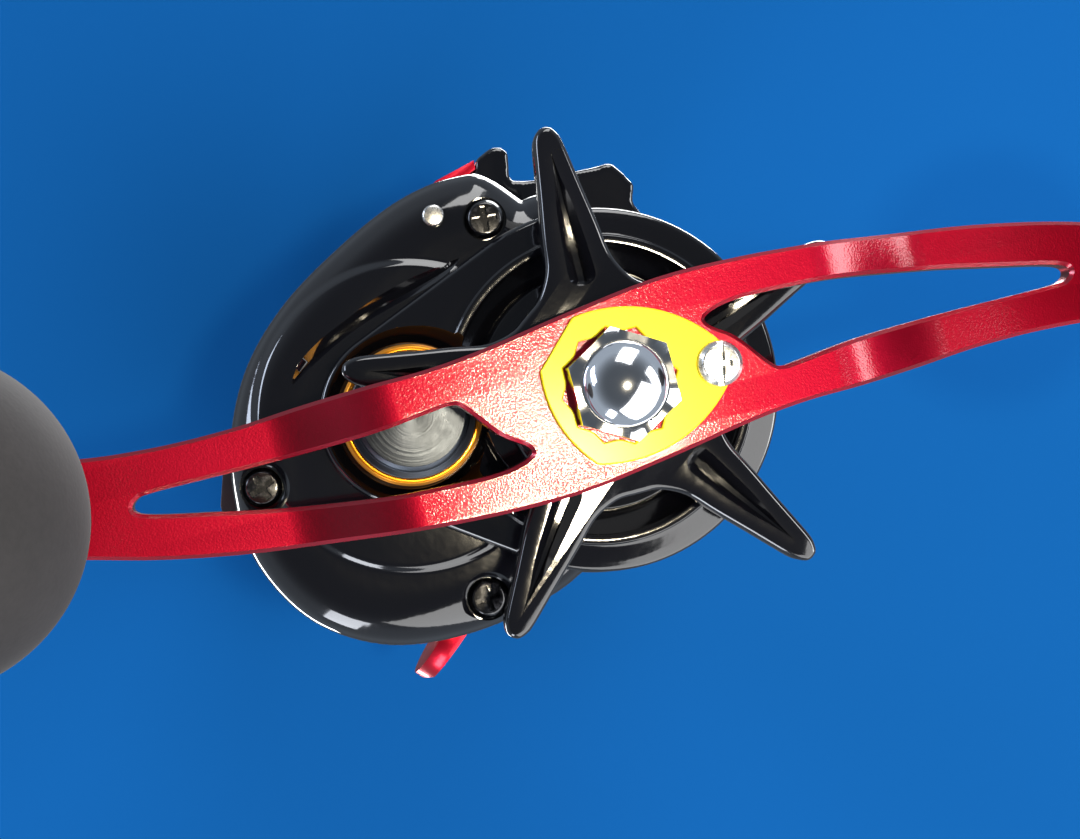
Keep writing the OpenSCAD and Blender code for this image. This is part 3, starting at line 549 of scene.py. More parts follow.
def plate(outer, holes, near, far, chamfer, steps=1):
    """A flat plate with holes between two depths, with chamfered or rounded edges."""
    loops = [list(outer) if area(list(outer)) > 0 else list(outer)[::-1]]
    loops += [list(h) if area(list(h)) < 0 else list(h)[::-1] for h in holes]
    levels = []
    for s in range(steps + 1):
        a = math.pi / 2 * s / steps
        levels.append((chamfer * (1 - math.sin(a)) if steps > 1 else chamfer * (1 - s),
                       chamfer * (1 - math.cos(a)) if steps > 1 else chamfer * s))
    sections = [(i, near + d) for i, d in levels] + [(i, far - d) for i, d in levels[::-1]]
    points, faces, starts = [], [], []
    for loop in loops:
        count = len(loop)
        starts.append(len(points))
        for amount, depth in sections:
            points += [(x, -depth, z) for x, z in inset(loop, amount)]
        for s in range(len(sections) - 1):
            a, b = starts[-1] + s * count, starts[-1] + (s + 1) * count
            faces += [(a + i, a + (i + 1) % count, b + (i + 1) % count, b + i) for i in range(count)]
    for level in (0, len(sections) - 1):
        rims = [[Vector((*corner, 0)) for corner in inset(loop, sections[level][0])] for loop in loops]
        number = [start + level * len(loop) + i for start, loop in zip(starts, loops)
                  for i in range(len(loop))]
        faces += [tuple(number[i] for i in triangle) for triangle in tessellate_polygon(rims)]
    return points, faces


def about_drive(loop, turn=handle_turn):
    """Turns a loop drawn along and across an arm, such as the handle's front one, to the side view."""
    c, s = math.cos(turn), math.sin(turn)
    return [(drive[0] + u * c - v * s, drive[1] + u * s + v * c) for u, v in loop]


red_anodised, tree = new_material("bead_blasted_red_anodised_aluminium")
# Bead blasting leaves overlapping dimples about 0.15 mm wide, which glitter one by one in
# a hard light. The dye is deep crimson, a little paler where the blast was harder.
place = {"Vector": add(tree, "ShaderNodeTexCoord").outputs["Object"]}
dimples = add(tree, "ShaderNodeTexVoronoi", {"Scale": 5200.0}, place)
blast = add(tree, "ShaderNodeTexNoise", {"Scale": 2600.0, "Detail": 3.0, "Roughness": 0.65}, place)
dye = add(tree, "ShaderNodeTexNoise", {"Scale": 60.0, "Detail": 4.0}, place)
tint = add(tree, "ShaderNodeMix", {"data_type": "RGBA", 6: colour("#8A0018"), 7: colour("#A20A2A")},
           {0: dye.outputs["Fac"]})
deep = add(tree, "ShaderNodeMath", {"operation": "ADD"},
           {0: dimples.outputs["Distance"], 1: blast.outputs["Fac"]})
grit_bump = add(tree, "ShaderNodeBump", {"Strength": 0.2, "Distance": 0.00004}, {"Height": deep.outputs[0]})
gloss = add(tree, "ShaderNodeMapRange", {"To Min": 0.32, "To Max": 0.46}, {"Value": blast.outputs["Fac"]})
surface(tree, {"Metallic": 1.0, "Coat Weight": 1.0, "Coat Roughness": 0.11},
             {"Base Color": tint.outputs[2], "Roughness": gloss.outputs[0], "Normal": grit_bump.outputs[0],
              "Coat Normal": grit_bump.outputs[0]})

half_blade = [(6, 9.35), (14, 9.4), (22, 8.9), (28, 8.3), (36, 7.4), (42, 6.45), (48, 5.2), (54, 3.6),
              (knob_reach - 3, 1.2), (knob_reach + 2.2, 0.4), (knob_reach + 4.8, -3.2),
              (knob_reach + 3, -7.6),
              (knob_reach - 2.5, -9), (54, -6.4), (46, -5.45), (38, -5.35), (31, -5.8), (24, -6.05),
              (18, -6.15),
              (12, -6.75), (3, -8.2)]
half_window = [(10.3, 4.6), (13.5, 5.35), (19.5, 5.25), (25, 4.85), (34, 3.6), (41, 2.2), (47, 0.9),
               (48.7, 0.1),
               (48.2, -0.9), (46, -1.2), (35, -1.15), (25, -1.35), (19, -1.95), (16.4, -2.15), (15.2, -1.4),
               (12.6, 1.8), (10.2, 3.6)]
blade_holes = [spline([(s * u, s * v) for u, v in half_window], 6) for s in (1, -1)]
blade_holes += [circle((s * knob_reach, -s * knob_offset), 2.5, 40) for s in (1, -1)]
blade_holes += [circle((10, -0.4), 1.0, 24)]
shaft_radius, shaft_flat = 3, 2.2
flat = math.asin(shaft_flat / shaft_radius)
blade_holes += [[polar((0, 0), shaft_radius, a) for b in (0, math.pi)
                 for a in np.linspace(b - flat, b + flat, 12)]]
blade_near, blade_far, blade_chamfer = 40.8, 44.0, 0.38
points, faces = plate(spline([(s * u, s * v) for s in (1, -1) for u, v in half_blade], 8), blade_holes,
                      blade_near, blade_far, blade_chamfer)
form = bmesh.new()
mesh = bpy.data.meshes.new("blade")
mesh.from_pydata(points, [], faces)
form.from_mesh(mesh)
bmesh.ops.remove_doubles(form, verts=form.verts, dist=1e-5)
# Each arm leans back towards the reel between these two distances from the shaft.
lean_start, lean_run, lean_depth = 21.5, 13, 3.5
for side in (1, -1):
    for u in np.linspace(lean_start, lean_start + lean_run, 16):
        bmesh.ops.bisect_plane(form, geom=form.verts[:] + form.edges[:] + form.faces[:], dist=1e-5,
                               plane_co=(side * u, 0, 0), plane_no=(1, 0, 0))
for vertex in form.verts:
    lean_back = max(0.0, min(1.0, (abs(vertex.co.x) - lean_start) / lean_run))
    vertex.co.y += lean_depth * lean_back * lean_back * (3 - 2 * lean_back)
bmesh.ops.recalc_face_normals(form, faces=form.faces)
form.to_mesh(mesh)
form.free()
c, s = math.cos(handle_turn), math.sin(handle_turn)
blade_points = [(drive[0] + v.co.x * c - v.co.z * s, v.co.y, drive[1] + v.co.x * s + v.co.z * c)
                for v in mesh.vertices]
blade = shape("handle_blade_skin", blade_points, [tuple(p.vertices) for p in mesh.polygons], red_anodised,
              sharp=28, outward=False)
belong(blade, "handle", "handle_blade")

# ---- Nut, keeper and keeper screw ----
# A chromed steel cap nut holds the blade on the drive shaft. A yellow anodised keeper, a
# thin blanked plate with a twelve-point hole, stops the nut from turning, and one small
# screw holds the keeper.
keeper_yellow, tree = new_material("yellow_anodised_aluminium_sheet")
# Bright-dipped before anodising: a satin mirror with a faint rolled grain, 0.3 mm apart.
place = {"Vector": add(tree, "ShaderNodeTexCoord").outputs["Object"]}
turn = add(tree, "ShaderNodeMapping", {"Rotation": (0, handle_turn, 0), "Scale": (60.0, 1500.0, 1500.0)},
           place)
grain = add(tree, "ShaderNodeTexNoise", {"Scale": 1.0, "Detail": 3.0}, {"Vector": turn.outputs[0]})
grain_bump = add(tree, "ShaderNodeBump", {"Strength": 0.08, "Distance": 0.00003},
                 {"Height": grain.outputs["Fac"]})
surface(tree, {
    "Base Color": colour("#FFE100"), "Metallic": 0.4, "Roughness": 0.36, "Coat Weight": 0.3,
               "Coat Roughness": 0.16},
             {"Normal": grain_bump.outputs[0]})

chrome, tree = new_material("chromed_steel")
# Polished and chromed, with a few fine wipe marks.
place = {"Vector": add(tree, "ShaderNodeTexCoord").outputs["Object"]}
wipe = add(tree, "ShaderNodeTexNoise", {"Scale": 300.0, "Detail": 6.0, "Roughness": 0.7}, place)
wipe_range = add(tree, "ShaderNodeMapRange", {"To Min": 0.04, "To Max": 0.14},
                 {"Value": wipe.outputs["Fac"]})
surface(tree, {"Base Color": colour("#E6E8EC"), "Metallic": 1.0}, {"Roughness": wipe_range.outputs[0]})

# The keeper's outline is three arcs and one slanting edge, its hole two hexagons.
keeper_arcs = (((-0.8, -6.4), 14.1), ((-0.3, 6.6), 14.1), ((5, 1.5), 12.4))
slant, slant_reach = (-math.sin(math.radians(45)), math.cos(math.radians(45))), 7.4
keeper_loop = []
for degree in range(0, 360, 2):
    a = math.radians(degree)
    way = (math.cos(a), math.sin(a))
    reach = 40.0
    for (cx, cz), r in keeper_arcs:
        ahead = way[0] * cx + way[1] * cz
        reach = min(reach, ahead + math.sqrt(max(0, r * r - (cx * cx + cz * cz - ahead * ahead))))
    facing_slant = way[0] * slant[0] + way[1] * slant[1]
    if facing_slant > 0:
        reach = min(reach, slant_reach / facing_slant)
    keeper_loop.append((reach * way[0], reach * way[1]))
star_hole, half_across = [], 5.87 * math.cos(math.radians(30))
for degree in range(0, 360, 6):
    a = math.radians(degree)
    flat_way = [abs(math.cos(a - math.radians(f))) for f in range(0, 360, 60)]
    other_way = [abs(math.cos(a - math.radians(f + 30))) for f in range(0, 360, 60)]
    reach = max(half_across / max(flat_way), half_across / max(other_way))
    star_hole.append(polar((0, 0), reach, a))
keeper_screw_place, keeper_far = (10, -0.4), 44.8
keeper = shape("keeper_plate", *plate(
    about_drive(keeper_loop), [about_drive(star_hole), about_drive(circle(keeper_screw_place, 1.1, 24))],
    blade_far, keeper_far, 0.14), keeper_yellow, sharp=25)
belong(keeper, "handle", "nut_keeper")

# Rings of (radius, height) that the hexagon clips, with its top corners turned down.
nut_top, nut_corner, dome_radius = 48.0, 5.7, 4.3
nut_rings = [(2.4, blade_far), (5.5, blade_far), (9, 44.15), (9, nut_top), (5.3, nut_top),
             (dome_radius, nut_top)]
points, faces, turns = [], [], 144
for r, h in nut_rings:
    for t in range(turns):
        a = 2 * math.pi * t / turns
        side = nut_corner * math.cos(math.pi / 6) / math.cos((math.degrees(a) % 60 - 30) * math.pi / 180)
        reach = min(r, side)
        height = h - max(0, reach - 5.05) * math.tan(math.radians(26)) if h == nut_top else h
        away = a + handle_turn + math.pi / 6
        points.append((drive[0] + reach * math.cos(away), -height, drive[1] + reach * math.sin(away)))
for low in range(0, (len(nut_rings) - 1) * turns, turns):
    high = low + turns
    faces += [(low + t, low + (t + 1) % turns, high + (t + 1) % turns, high + t) for t in range(turns)]
dome_arc = [math.radians(d) for d in range(0, 91, 6)]
dome = lathe([(dome_radius, nut_top), (dome_radius, nut_top + 0.12)]
             + [(4.15 * math.cos(a), 48.1 + 2.2 * math.sin(a)) for a in dome_arc], drive, turns)
nut = shape("cap_nut", *together((points, faces), dome), chrome, sharp=22)
belong(nut, "handle", "handle_nut")

# The keeper screw: zinc-plated steel, pan head, with a slot across it and a small cross.
zinc_plate, tree = new_material("zinc_plated_steel")
# A bright, slightly milky mirror with fine wipe marks, and a grain about 0.4 mm wide.
place = {"Vector": add(tree, "ShaderNodeTexCoord").outputs["Object"]}
milk = add(tree, "ShaderNodeTexNoise", {"Scale": 2500.0, "Detail": 4.0, "Roughness": 0.7}, place)
milk_range = add(tree, "ShaderNodeMapRange", {"To Min": 0.12, "To Max": 0.42},
                 {"Value": milk.outputs["Fac"]})
milk_bump = add(tree, "ShaderNodeBump", {"Strength": 0.25, "Distance": 0.00004},
                {"Height": milk.outputs["Fac"]})
surface(tree, {"Base Color": colour("#D4D2CE"), "Metallic": 1.0},
             {"Roughness": milk_range.outputs[0], "Normal": milk_bump.outputs[0]})


def bar(centre, length, width, low, high, turn):
    """A straight-sided bar in the side view, for cutting slots."""
    c, s = math.cos(turn), math.sin(turn)
    corners = [(u * length / 2, v * width / 2) for u, v in ((-1, -1), (1, -1), (1, 1), (-1, 1))]
    points = [(centre[0] + u * c - v * s, -h, centre[1] + u * s + v * c) for h in (low, high)
              for u, v in corners]
    return points, [(0, 1, 2, 3), (7, 6, 5, 4)] + [(i, i + 4, (i + 1) % 4 + 4, (i + 1) % 4)
                                                   for i in range(4)]


def screw_head(name, axis, radius, top, thick, slots, finish):
    """A pan head with a rounded rim and straight recesses. Each slot is (length, width, depth, turn)."""
    rim = fillet([(0, top), (radius * 0.8, top - 0.03, 0.3), (radius, top - 0.45 * thick, 0.25),
                  (radius, top - thick), (0, top - thick)], steps=4)
    head = shape(name, *lathe(rim, axis, 64), finish)
    cut(head, *[shape("slot", *bar(axis, length, width, top - deep, top + 1, turn), finish)
                for length, width, deep, turn in slots])
    return head


screw_axis = about_drive([keeper_screw_place])[0]
slot_turn = math.radians(37)
keeper_screw = screw_head("keeper_screw_head", screw_axis, 2.25, 46.0, 1.2,
                          [(5, 0.62, 0.5, slot_turn), (2.3, 0.55, 0.95, slot_turn + math.pi / 2),
                           (2.3, 0.8, 0.95, slot_turn)], zinc_plate)
belong(keeper_screw, "handle", "keeper_screw")

# ---- Star drag ----
# A five-armed wheel on the drive shaft's thread, moulded in glass-filled nylon and
# lacquered black like the cover. Each arm has a long leaf-shaped groove for grip.
star_phase = math.radians(49.3)
arm_side = [(26.95, 0.5), (26.2, 1.15), (25.2, 1.5), (23.1, 1.85), (20.2, 2.3), (16.3, 2.95), (13.4, 3.35),
            (11.7, 4.0), (10.2, 5.0), (9.35, 6.1)]
arm_turns = [star_phase + arm * 2 * math.pi / 5 for arm in range(5)]
arm_outline = [(u, -v) for u, v in arm_side[::-1]] + arm_side
star_loop = spline([corner for turn in arm_turns for corner in about_drive(arm_outline, turn)], 4)
star_bore, arm_near, arm_far = 3.05, 35.4, 38.5
star_arms = shape("star_arms",
                  *plate(star_loop, [circle(drive, star_bore, 48)], arm_near, arm_far, 0.55, steps=3),
                  piano_black)
# Half the groove, as (distance from the shaft, half width); its depth follows its width.
half_groove = spline([(24.4, 0), (22.0, 0.32), (18.4, 0.85), (14.0, 1.15), (11.4, 1.2), (10.6, 0.5)], 5,
                     closed=False)
grooves = []
for turn in arm_turns:
    points = []
    for u, v in half_groove:
        v = max(v, 0.02)
        floor = arm_far - min(1.5, 1.25 * v + 0.1)
        for across, depth in ((-v * 1.35, 38.9), (v * 1.35, 38.9), (0.25 * v, floor), (-0.25 * v, floor)):
            x, z = about_drive([(u, across)], turn)[0]
            points.append((x, -depth, z))
    end = 4 * (len(half_groove) - 1)
    faces = [(i + k, i + (k + 1) % 4, i + 4 + (k + 1) % 4, i + 4 + k) for i in range(0, end, 4)
             for k in range(4)]
    faces += [(0, 1, 2, 3), tuple(end + k for k in (3, 2, 1, 0))]
    grooves.append(shape("groove", points, faces, piano_black))
cut(star_arms, *grooves)
hub = lathe(fillet([(star_bore, 31.6), (6.4, 31.6, 0.2), (6.4, 32.4), (9.2, 32.4, 0.4), (9.2, 38.3, 0.3),
                    (7.6, 38.9, 0.2),
                    (6.4, 39.2, 0.2), (star_bore, 39.2)], closed=True, steps=3), drive, 128, ring=True)
star_hub = shape("star_hub", *hub, piano_black)
belong(star_arms, "star", "star_drag")
belong(star_hub, "star")

# ---- Cast-control cap ----
# An aluminium cap that screws on the cover's boss and presses on the spool shaft. Its
# skirt is anodised orange, and the disc on top is face turned.


def round_spool_axis(tree, place):
    """A place measured from the spool's axis: its parts along X, Y and Z, and its distance out."""
    middle = (-0.001 * spool_axis[0], 0, -0.001 * spool_axis[1])
    centred = add(tree, "ShaderNodeMapping", {"vector_type": "POINT", "Location": middle}, place)
    sides = add(tree, "ShaderNodeSeparateXYZ", links={0: centred.outputs[0]})
    across = add(tree, "ShaderNodeCombineXYZ", links={0: sides.outputs[0], 1: sides.outputs[2]})
    return sides, add(tree, "ShaderNodeVectorMath", {"operation": "LENGTH"}, {0: across.outputs[0]})


orange_gold, tree = new_material("orange_anodised_aluminium")
# A warm dye over fine turning rings, with a satin seal, so the skirt glows like brass.
place = {"Vector": add(tree, "ShaderNodeTexCoord").outputs["Object"]}
sides, far_out = round_spool_axis(tree, place)
lines = add(tree, "ShaderNodeTexNoise", {"noise_dimensions": "1D", "Scale": 9000.0, "Detail": 2.0},
            {"W": far_out.outputs["Value"]})
turned_bump = add(tree, "ShaderNodeBump", {"Strength": 0.12, "Distance": 0.00003},
                  {"Height": lines.outputs["Fac"]})
surface(tree, {"Base Color": colour("#E8921E"), "Metallic": 0.9, "Roughness": 0.28, "Coat Weight": 0.3},
             {"Normal": turned_bump.outputs[0]})

turned_silver, tree = new_material("face_turned_aluminium")
# A lathe tool left rings 0.1 mm apart, which spread a lamp into one bright line across the
# disc.
place = {"Vector": add(tree, "ShaderNodeTexCoord").outputs["Object"]}
sides, far_out = round_spool_axis(tree, place)
lines = add(tree, "ShaderNodeTexNoise", {"noise_dimensions": "1D", "Scale": 3600.0, "Detail": 3.0},
            {"W": far_out.outputs["Value"]})
mottle = add(tree, "ShaderNodeTexNoise", {"Scale": 1500.0, "Detail": 3.0}, place)
grain_range = add(tree, "ShaderNodeMapRange", {"To Min": 0.24, "To Max": 0.36},
                  {"Value": mottle.outputs["Fac"]})
turned_bump = add(tree, "ShaderNodeBump", {"Strength": 0.15, "Distance": 0.00004},
                  {"Height": lines.outputs["Fac"]})
around = add(tree, "ShaderNodeTangent", {"direction_type": "RADIAL", "axis": "Y"})
surface(tree, {"Base Color": colour("#44484E"), "Metallic": 1.0, "Anisotropic": 0.85},
             {"Roughness": grain_range.outputs[0], "Normal": turned_bump.outputs[0],
              "Tangent": around.outputs[0]})

skirt = lathe(fillet([(5.05, 29.2), (7.2, 29.2, 0.1), (7.3, 29.5), (7.3, 32.7, 0.15), (7.0, 33.1, 0.12),
                      (6.62, 33.15, 0.1), (6.62, 32.2), (5.05, 32.2)], closed=True, steps=3),
              spool_axis, 144, ring=True)
cap_skirt = shape("cap_skirt", *skirt, orange_gold)
disc = lathe(fillet([(0, 35.0), (5.3, 35.0, 0.1), (5.75, 34.7, 0.15), (5.85, 33.9, 0.1), (6.5, 33.75, 0.15),
                     (6.6, 33.4), (6.6, 32.1), (5.3, 32.1), (5.3, 32.7), (0, 32.7)], steps=3), spool_axis,
             144)
cap_disc = shape("cap_disc", *disc, turned_silver)
belong(cap_skirt, "cast_control", "cast_cap_ring")
belong(cap_disc, "cast_control", "cast_cap")

# ---- Cover and hood screws, and the cover's pin ----
# Pan-head machine screws in black-oxided steel with a cross recess, three in each cover and
# two in the hood. The pin is a polished steel dowel pressed into the handle side cover.
black_oxide, tree = new_material("black_oxided_steel")
# Deep black with an oily gloss. Where a driver has rubbed it, bare steel shows through.
place = {"Vector": add(tree, "ShaderNodeTexCoord").outputs["Object"]}
rub = add(tree, "ShaderNodeTexNoise", {"Scale": 1400.0, "Detail": 5.0, "Roughness": 0.75}, place)
rub_range = add(tree, "ShaderNodeMapRange", {"From Min": 0.52, "From Max": 0.70},
                {"Value": rub.outputs["Fac"]})
worn = add(tree, "ShaderNodeMix", {"data_type": "RGBA", 6: colour("#0C0C0F"), 7: colour("#4A4A4E")},
           {0: rub_range.outputs[0]})
oil = add(tree, "ShaderNodeMapRange", {"To Min": 0.12, "To Max": 0.34}, {"Value": rub.outputs["Fac"]})
surface(tree, {"Metallic": 0.6, "Coat Weight": 0.8, "Coat Roughness": 0.06},
             {"Base Color": worn.outputs[2], "Roughness": oil.outputs[0]})


def settle(carrier, tree, finish, **sizes):
    """Runs a geometry tree on a piece and keeps the result as its plain mesh."""
    build = carrier.modifiers.new("build", "NODES")
    build.node_group = tree
    for item in tree.interface.items_tree:
        if item.in_out == "INPUT" and item.name in sizes:
            build[item.identifier] = sizes[item.name]
    mesh = settle_modifiers(carrier)
    if not mesh.materials:
        mesh.materials.append(finish)
    soften(mesh, 32)
    return carrier


def spots(name, places, turns):
    """Bare points in millimetres, each with a turn about X, Y and Z that a tree reads."""
    mesh = bpy.data.meshes.new(name)
    mesh.from_pydata([tuple(0.001 * c for c in p) for p in places], [], [])
    turned = mesh.attributes.new("turn", "FLOAT_VECTOR", "POINT")
    turned.data.foreach_set("vector", [c for t in turns for c in t])
    carrier = bpy.data.objects.new(name, mesh)
    bpy.context.scene.collection.objects.link(carrier)
    return carrier


def spot_tree(name, *inputs):
    """A geometry tree with named inputs, the first of them the spots, and its input node."""
    tree = bpy.data.node_groups.new(name, "GeometryNodeTree")
    for title, kind in (("Spots", "Geometry"),) + inputs:
        tree.interface.new_socket(title, in_out="INPUT", socket_type="NodeSocket" + kind)
    tree.interface.new_socket("Result", in_out="OUTPUT", socket_type="NodeSocketGeometry")
    return tree, add(tree, "NodeGroupInput").outputs


def one_at_each_spot(tree, given, finish, **links):
    """Ends a tree by putting one instance at every spot, turned by the spot's own turn."""
    turn = add(tree, "GeometryNodeInputNamedAttribute", {"data_type": "FLOAT_VECTOR", "Name": "turn"})
    placed = add(tree, "GeometryNodeInstanceOnPoints", links={
        "Points": given["Spots"], "Rotation": turn.outputs["Attribute"], **links})
    real = add(tree, "GeometryNodeRealizeInstances", links={"Geometry": placed.outputs[0]})
    coated = add(tree, "GeometryNodeSetMaterial", {"Material": finish}, {"Geometry": real.outputs[0]})
    add(tree, "NodeGroupOutput", links={"Result": coated.outputs[0]})


cross = [(2.7, 0.62, 0.75, 0), (2.7, 0.62, 0.75, math.pi / 2), (1.1, 1.1, 0.9, math.pi / 4)]
one_screw = screw_head("one_screw", (0, 0), 2.1, 0, 1.5, cross, black_oxide)
screw_tree, given = spot_tree("screws_on_spots", ("Piece", "Object"), ("Size", "Float"))
whole = add(screw_tree, "GeometryNodeObjectInfo", links={"Object": given["Piece"]})
one_at_each_spot(screw_tree, given, black_oxide, Instance=whole.outputs["Geometry"], Scale=given["Size"])
palm_screw_top = 25.9
for name, places, turns, size, node in (
        ("handle_side_screws", [(x, -top, z) for (x, z), top in zip(screw_places, screw_tops)],
         [(0, math.radians(d), 0) for d in (45, 20, 35)], 1.0, "handle_cover_screws"),
        ("palm_side_screws", [(x, palm_screw_top, z) for x, z in screw_places],
         [(math.pi, math.radians(d), 0) for d in (15, 60, 32)], 1.0, "palm_cover_screws"),
        ("hood_face_screws", [(27.2, y, 9.3) for y in (-11, 11)],
         [(math.radians(d), 0, math.pi / 2) for d in (10, 55)], 0.8, "hood_screws")):
    screws = settle(spots(name, places, turns), screw_tree, black_oxide, Piece=one_screw, Size=size)
    belong(screws, "reel_body", node)
bpy.data.objects.remove(one_screw)

pin = shape("cover_dowel", *lathe(fillet([(0, 28.6), (1.15, 28.5, 0.25), (1.15, 24.2), (0, 24.2)], steps=5),
                                  pin_place, 48), zinc_plate)
belong(pin, "reel_body", "cover_pin")

# ---- Knobs ----
# Round grips turned from closed-cell EVA foam, glued on moulded cores that spin on the knob
# shafts. A push-in cap hides each shaft's end.
eva, tree = new_material("turned_eva_foam")
# Cut cells about 0.5 mm wide make it matt and faintly speckled, and turning leaves soft
# rings. Handling polishes it a little.
place = {"Vector": add(tree, "ShaderNodeTexCoord").outputs["Object"]}
cells = add(tree, "ShaderNodeTexVoronoi", {"Scale": 2000.0}, place)
speck = add(tree, "ShaderNodeTexNoise", {"Scale": 1200.0, "Detail": 4.0, "Roughness": 0.7}, place)
worn = add(tree, "ShaderNodeTexNoise", {"Scale": 70.0, "Detail": 3.0}, place)
mixed = add(tree, "ShaderNodeMath", {"operation": "MULTIPLY_ADD", 1: 0.5},
            {0: speck.outputs["Fac"], 2: worn.outputs["Fac"]})
shade = add(tree, "ShaderNodeMapRange", {"From Min": 0.45, "From Max": 1.05}, {"Value": mixed.outputs[0]})
tint = add(tree, "ShaderNodeMix", {"data_type": "RGBA", 6: colour("#1C1A1A"), 7: colour("#2D2A2A")},
           {0: shade.outputs[0]})
cell_bump = add(tree, "ShaderNodeBump", {"Strength": 0.2, "Distance": 0.00006},
                {"Height": cells.outputs["Distance"]})
surface(tree, {"Roughness": 0.82, "Specular IOR Level": 0.35, "Sheen Weight": 0.04, "Sheen Roughness": 0.5},
             {"Base Color": tint.outputs[2], "Normal": cell_bump.outputs[0]})

satin_nylon, tree = new_material("moulded_black_nylon")
# Glass-filled nylon from a spark-eroded mould: satin black with a 0.2 mm grain.
place = {"Vector": add(tree, "ShaderNodeTexCoord").outputs["Object"]}
grain = add(tree, "ShaderNodeTexNoise", {"Scale": 4500.0, "Detail": 3.0}, place)
flow = add(tree, "ShaderNodeTexNoise", {"Scale": 160.0, "Detail": 3.0}, place)
gloss = add(tree, "ShaderNodeMapRange", {"To Min": 0.28, "To Max": 0.46}, {"Value": flow.outputs["Fac"]})
grain_bump = add(tree, "ShaderNodeBump", {"Strength": 0.2, "Distance": 0.00004},
                 {"Height": grain.outputs["Fac"]})
surface(tree, {"Base Color": colour("#141416"), "IOR": 1.53},
             {"Roughness": gloss.outputs[0], "Normal": grain_bump.outputs[0]})

knob_radius, knob_depth = 15.4, 57.5
for side, name in ((-1, "rear"), (1, "front")):
    axis = about_drive([(side * knob_reach, -side * knob_offset)])[0]
    low, high = knob_depth - knob_radius, knob_depth + knob_radius
    ball = [(4.2, low + 0.9), (4.4, low + 0.6), (6.9, low + 0.6), (7.8, low + 0.9)]
    ball += [(knob_radius * math.cos(math.radians(d)), knob_depth + knob_radius * math.sin(math.radians(d)))
             for d in range(-56, 63, 2)]
    ball += [(6.4, high - 1.25), (5.6, high - 1.1), (5.2, high - 1.3), (5.2, high - 2.8), (4.2, high - 2.8)]
    grip = shape(name + "_foam_grip", *lathe(ball, axis, 128, ring=True), eva)
    core = lathe(fillet([(2.05, 41.7), (5.4, 41.7, 0.2), (5.4, 42.7, 0.2), (4.2, 42.7), (4.2, high - 2.6),
                         (2.6, high - 2.6), (2.6, 64.9), (2.05, 64.9)],
                        closed=True, steps=3), axis, 72, ring=True)
    sleeve = shape(name + "_knob_core", *core, satin_nylon)
    cap = fillet([(0, high - 1.0), (1.6, high - 1.0), (1.9, high - 0.8), (4.6, high - 0.85, 0.4),
                  (5.1, high - 1.4, 0.2),
                  (5.1, high - 2.6), (2.5, high - 2.6), (2.5, 65.5), (0, 65.5)], steps=3)
    plug = shape(name + "_knob_plug", *lathe(cap, axis, 72), satin_nylon)
    belong(grip, name + "_knob", "knob_" + name)
    belong(sleeve, name + "_knob", "knob_core_" + name)
    belong(plug, name + "_knob", "knob_cap_" + name)

# ---- Frame, foot and hood ----
# One machined aluminium frame carries everything, with the foot riveted below it. It is
# bead blasted finely and anodised the same red. The hood over the line guide is lacquered
# nylon.


def dress(node, finish, body, edge=0.12, sharp=34):
    """A copy of a CAD part with its loose triangles merged and its corners broken, in its place."""
    form = bmesh.new()
    form.from_mesh(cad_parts[node].data)
    bmesh.ops.remove_doubles(form, verts=form.verts, dist=2e-6)
    bmesh.ops.dissolve_limit(form, angle_limit=math.radians(0.4), verts=form.verts, edges=form.edges)
    mesh = bpy.data.meshes.new(node + "_finished")
    form.to_mesh(mesh)
    form.free()
    mesh.materials.clear()
    mesh.materials.append(finish)
    piece = bpy.data.objects.new(node + "_finished", mesh)
    bpy.context.scene.collection.objects.link(piece)
    if edge:
        breaker = piece.modifiers.new("edge", "BEVEL")
        breaker.width, breaker.segments, breaker.limit_method = edge * 0.001, 2, "ANGLE"
        breaker.angle_limit = math.radians(sharp)
        breaker.use_clamp_overlap = True
        settle_modifiers(piece)
    soften(piece.data, sharp)
    belong(piece, body, node)
    return piece


red_frame, tree = new_material("fine_blasted_red_anodised_frame")
# The same dye as the handle over a finer blast, so it is a little glossier.
place = {"Vector": add(tree, "ShaderNodeTexCoord").outputs["Object"]}
blast = add(tree, "ShaderNodeTexNoise", {"Scale": 5000.0, "Detail": 3.0, "Roughness": 0.6}, place)
dye = add(tree, "ShaderNodeTexNoise", {"Scale": 80.0, "Detail": 3.0}, place)
tint = add(tree, "ShaderNodeMix", {"data_type": "RGBA", 6: colour("#B80A22"), 7: colour("#CC1430")},
           {0: dye.outputs["Fac"]})
gloss = add(tree, "ShaderNodeMapRange", {"To Min": 0.26, "To Max": 0.36}, {"Value": blast.outputs["Fac"]})
blast_bump = add(tree, "ShaderNodeBump", {"Strength": 0.15, "Distance": 0.00003},
                 {"Height": blast.outputs["Fac"]})
surface(tree, {"Metallic": 0.9, "Coat Weight": 0.4, "Coat Roughness": 0.15},
             {"Base Color": tint.outputs[2], "Roughness": gloss.outputs[0],
              "Normal": blast_bump.outputs[0]})

dress("frame", red_frame, "reel_body", 0.25, 40)


def melt(piece, voxel, passes):
    """Rounds every corner of a moulded piece alike, as the mould's radii do."""
    rebuilt = piece.modifiers.new("voxels", "REMESH")
    rebuilt.mode, rebuilt.voxel_size = "VOXEL", voxel * 0.001
    eased = piece.modifiers.new("ease", "SMOOTH")
    eased.factor, eased.iterations = 0.5, passes
    settle_modifiers(piece).shade_smooth()


melt(dress("front_hood", piano_black, "reel_body", 0), 0.3, 14)

# ---- Palm side cover ----
# The moulded dome that the palm rests on, in the same lacquered ABS. It holds the brake
# dial in a round well, and three screws fix it.
palm_front = [(2, -3.9), (11, -0.8), (18.4, 4.6), (23.4, 12), (24.6, 20), (22.4, 27)]
palm_outline = spline(rear_edge + palm_front, 12)
palm_reach = ray_reach(palm_outline, spool_axis, ray_angles)


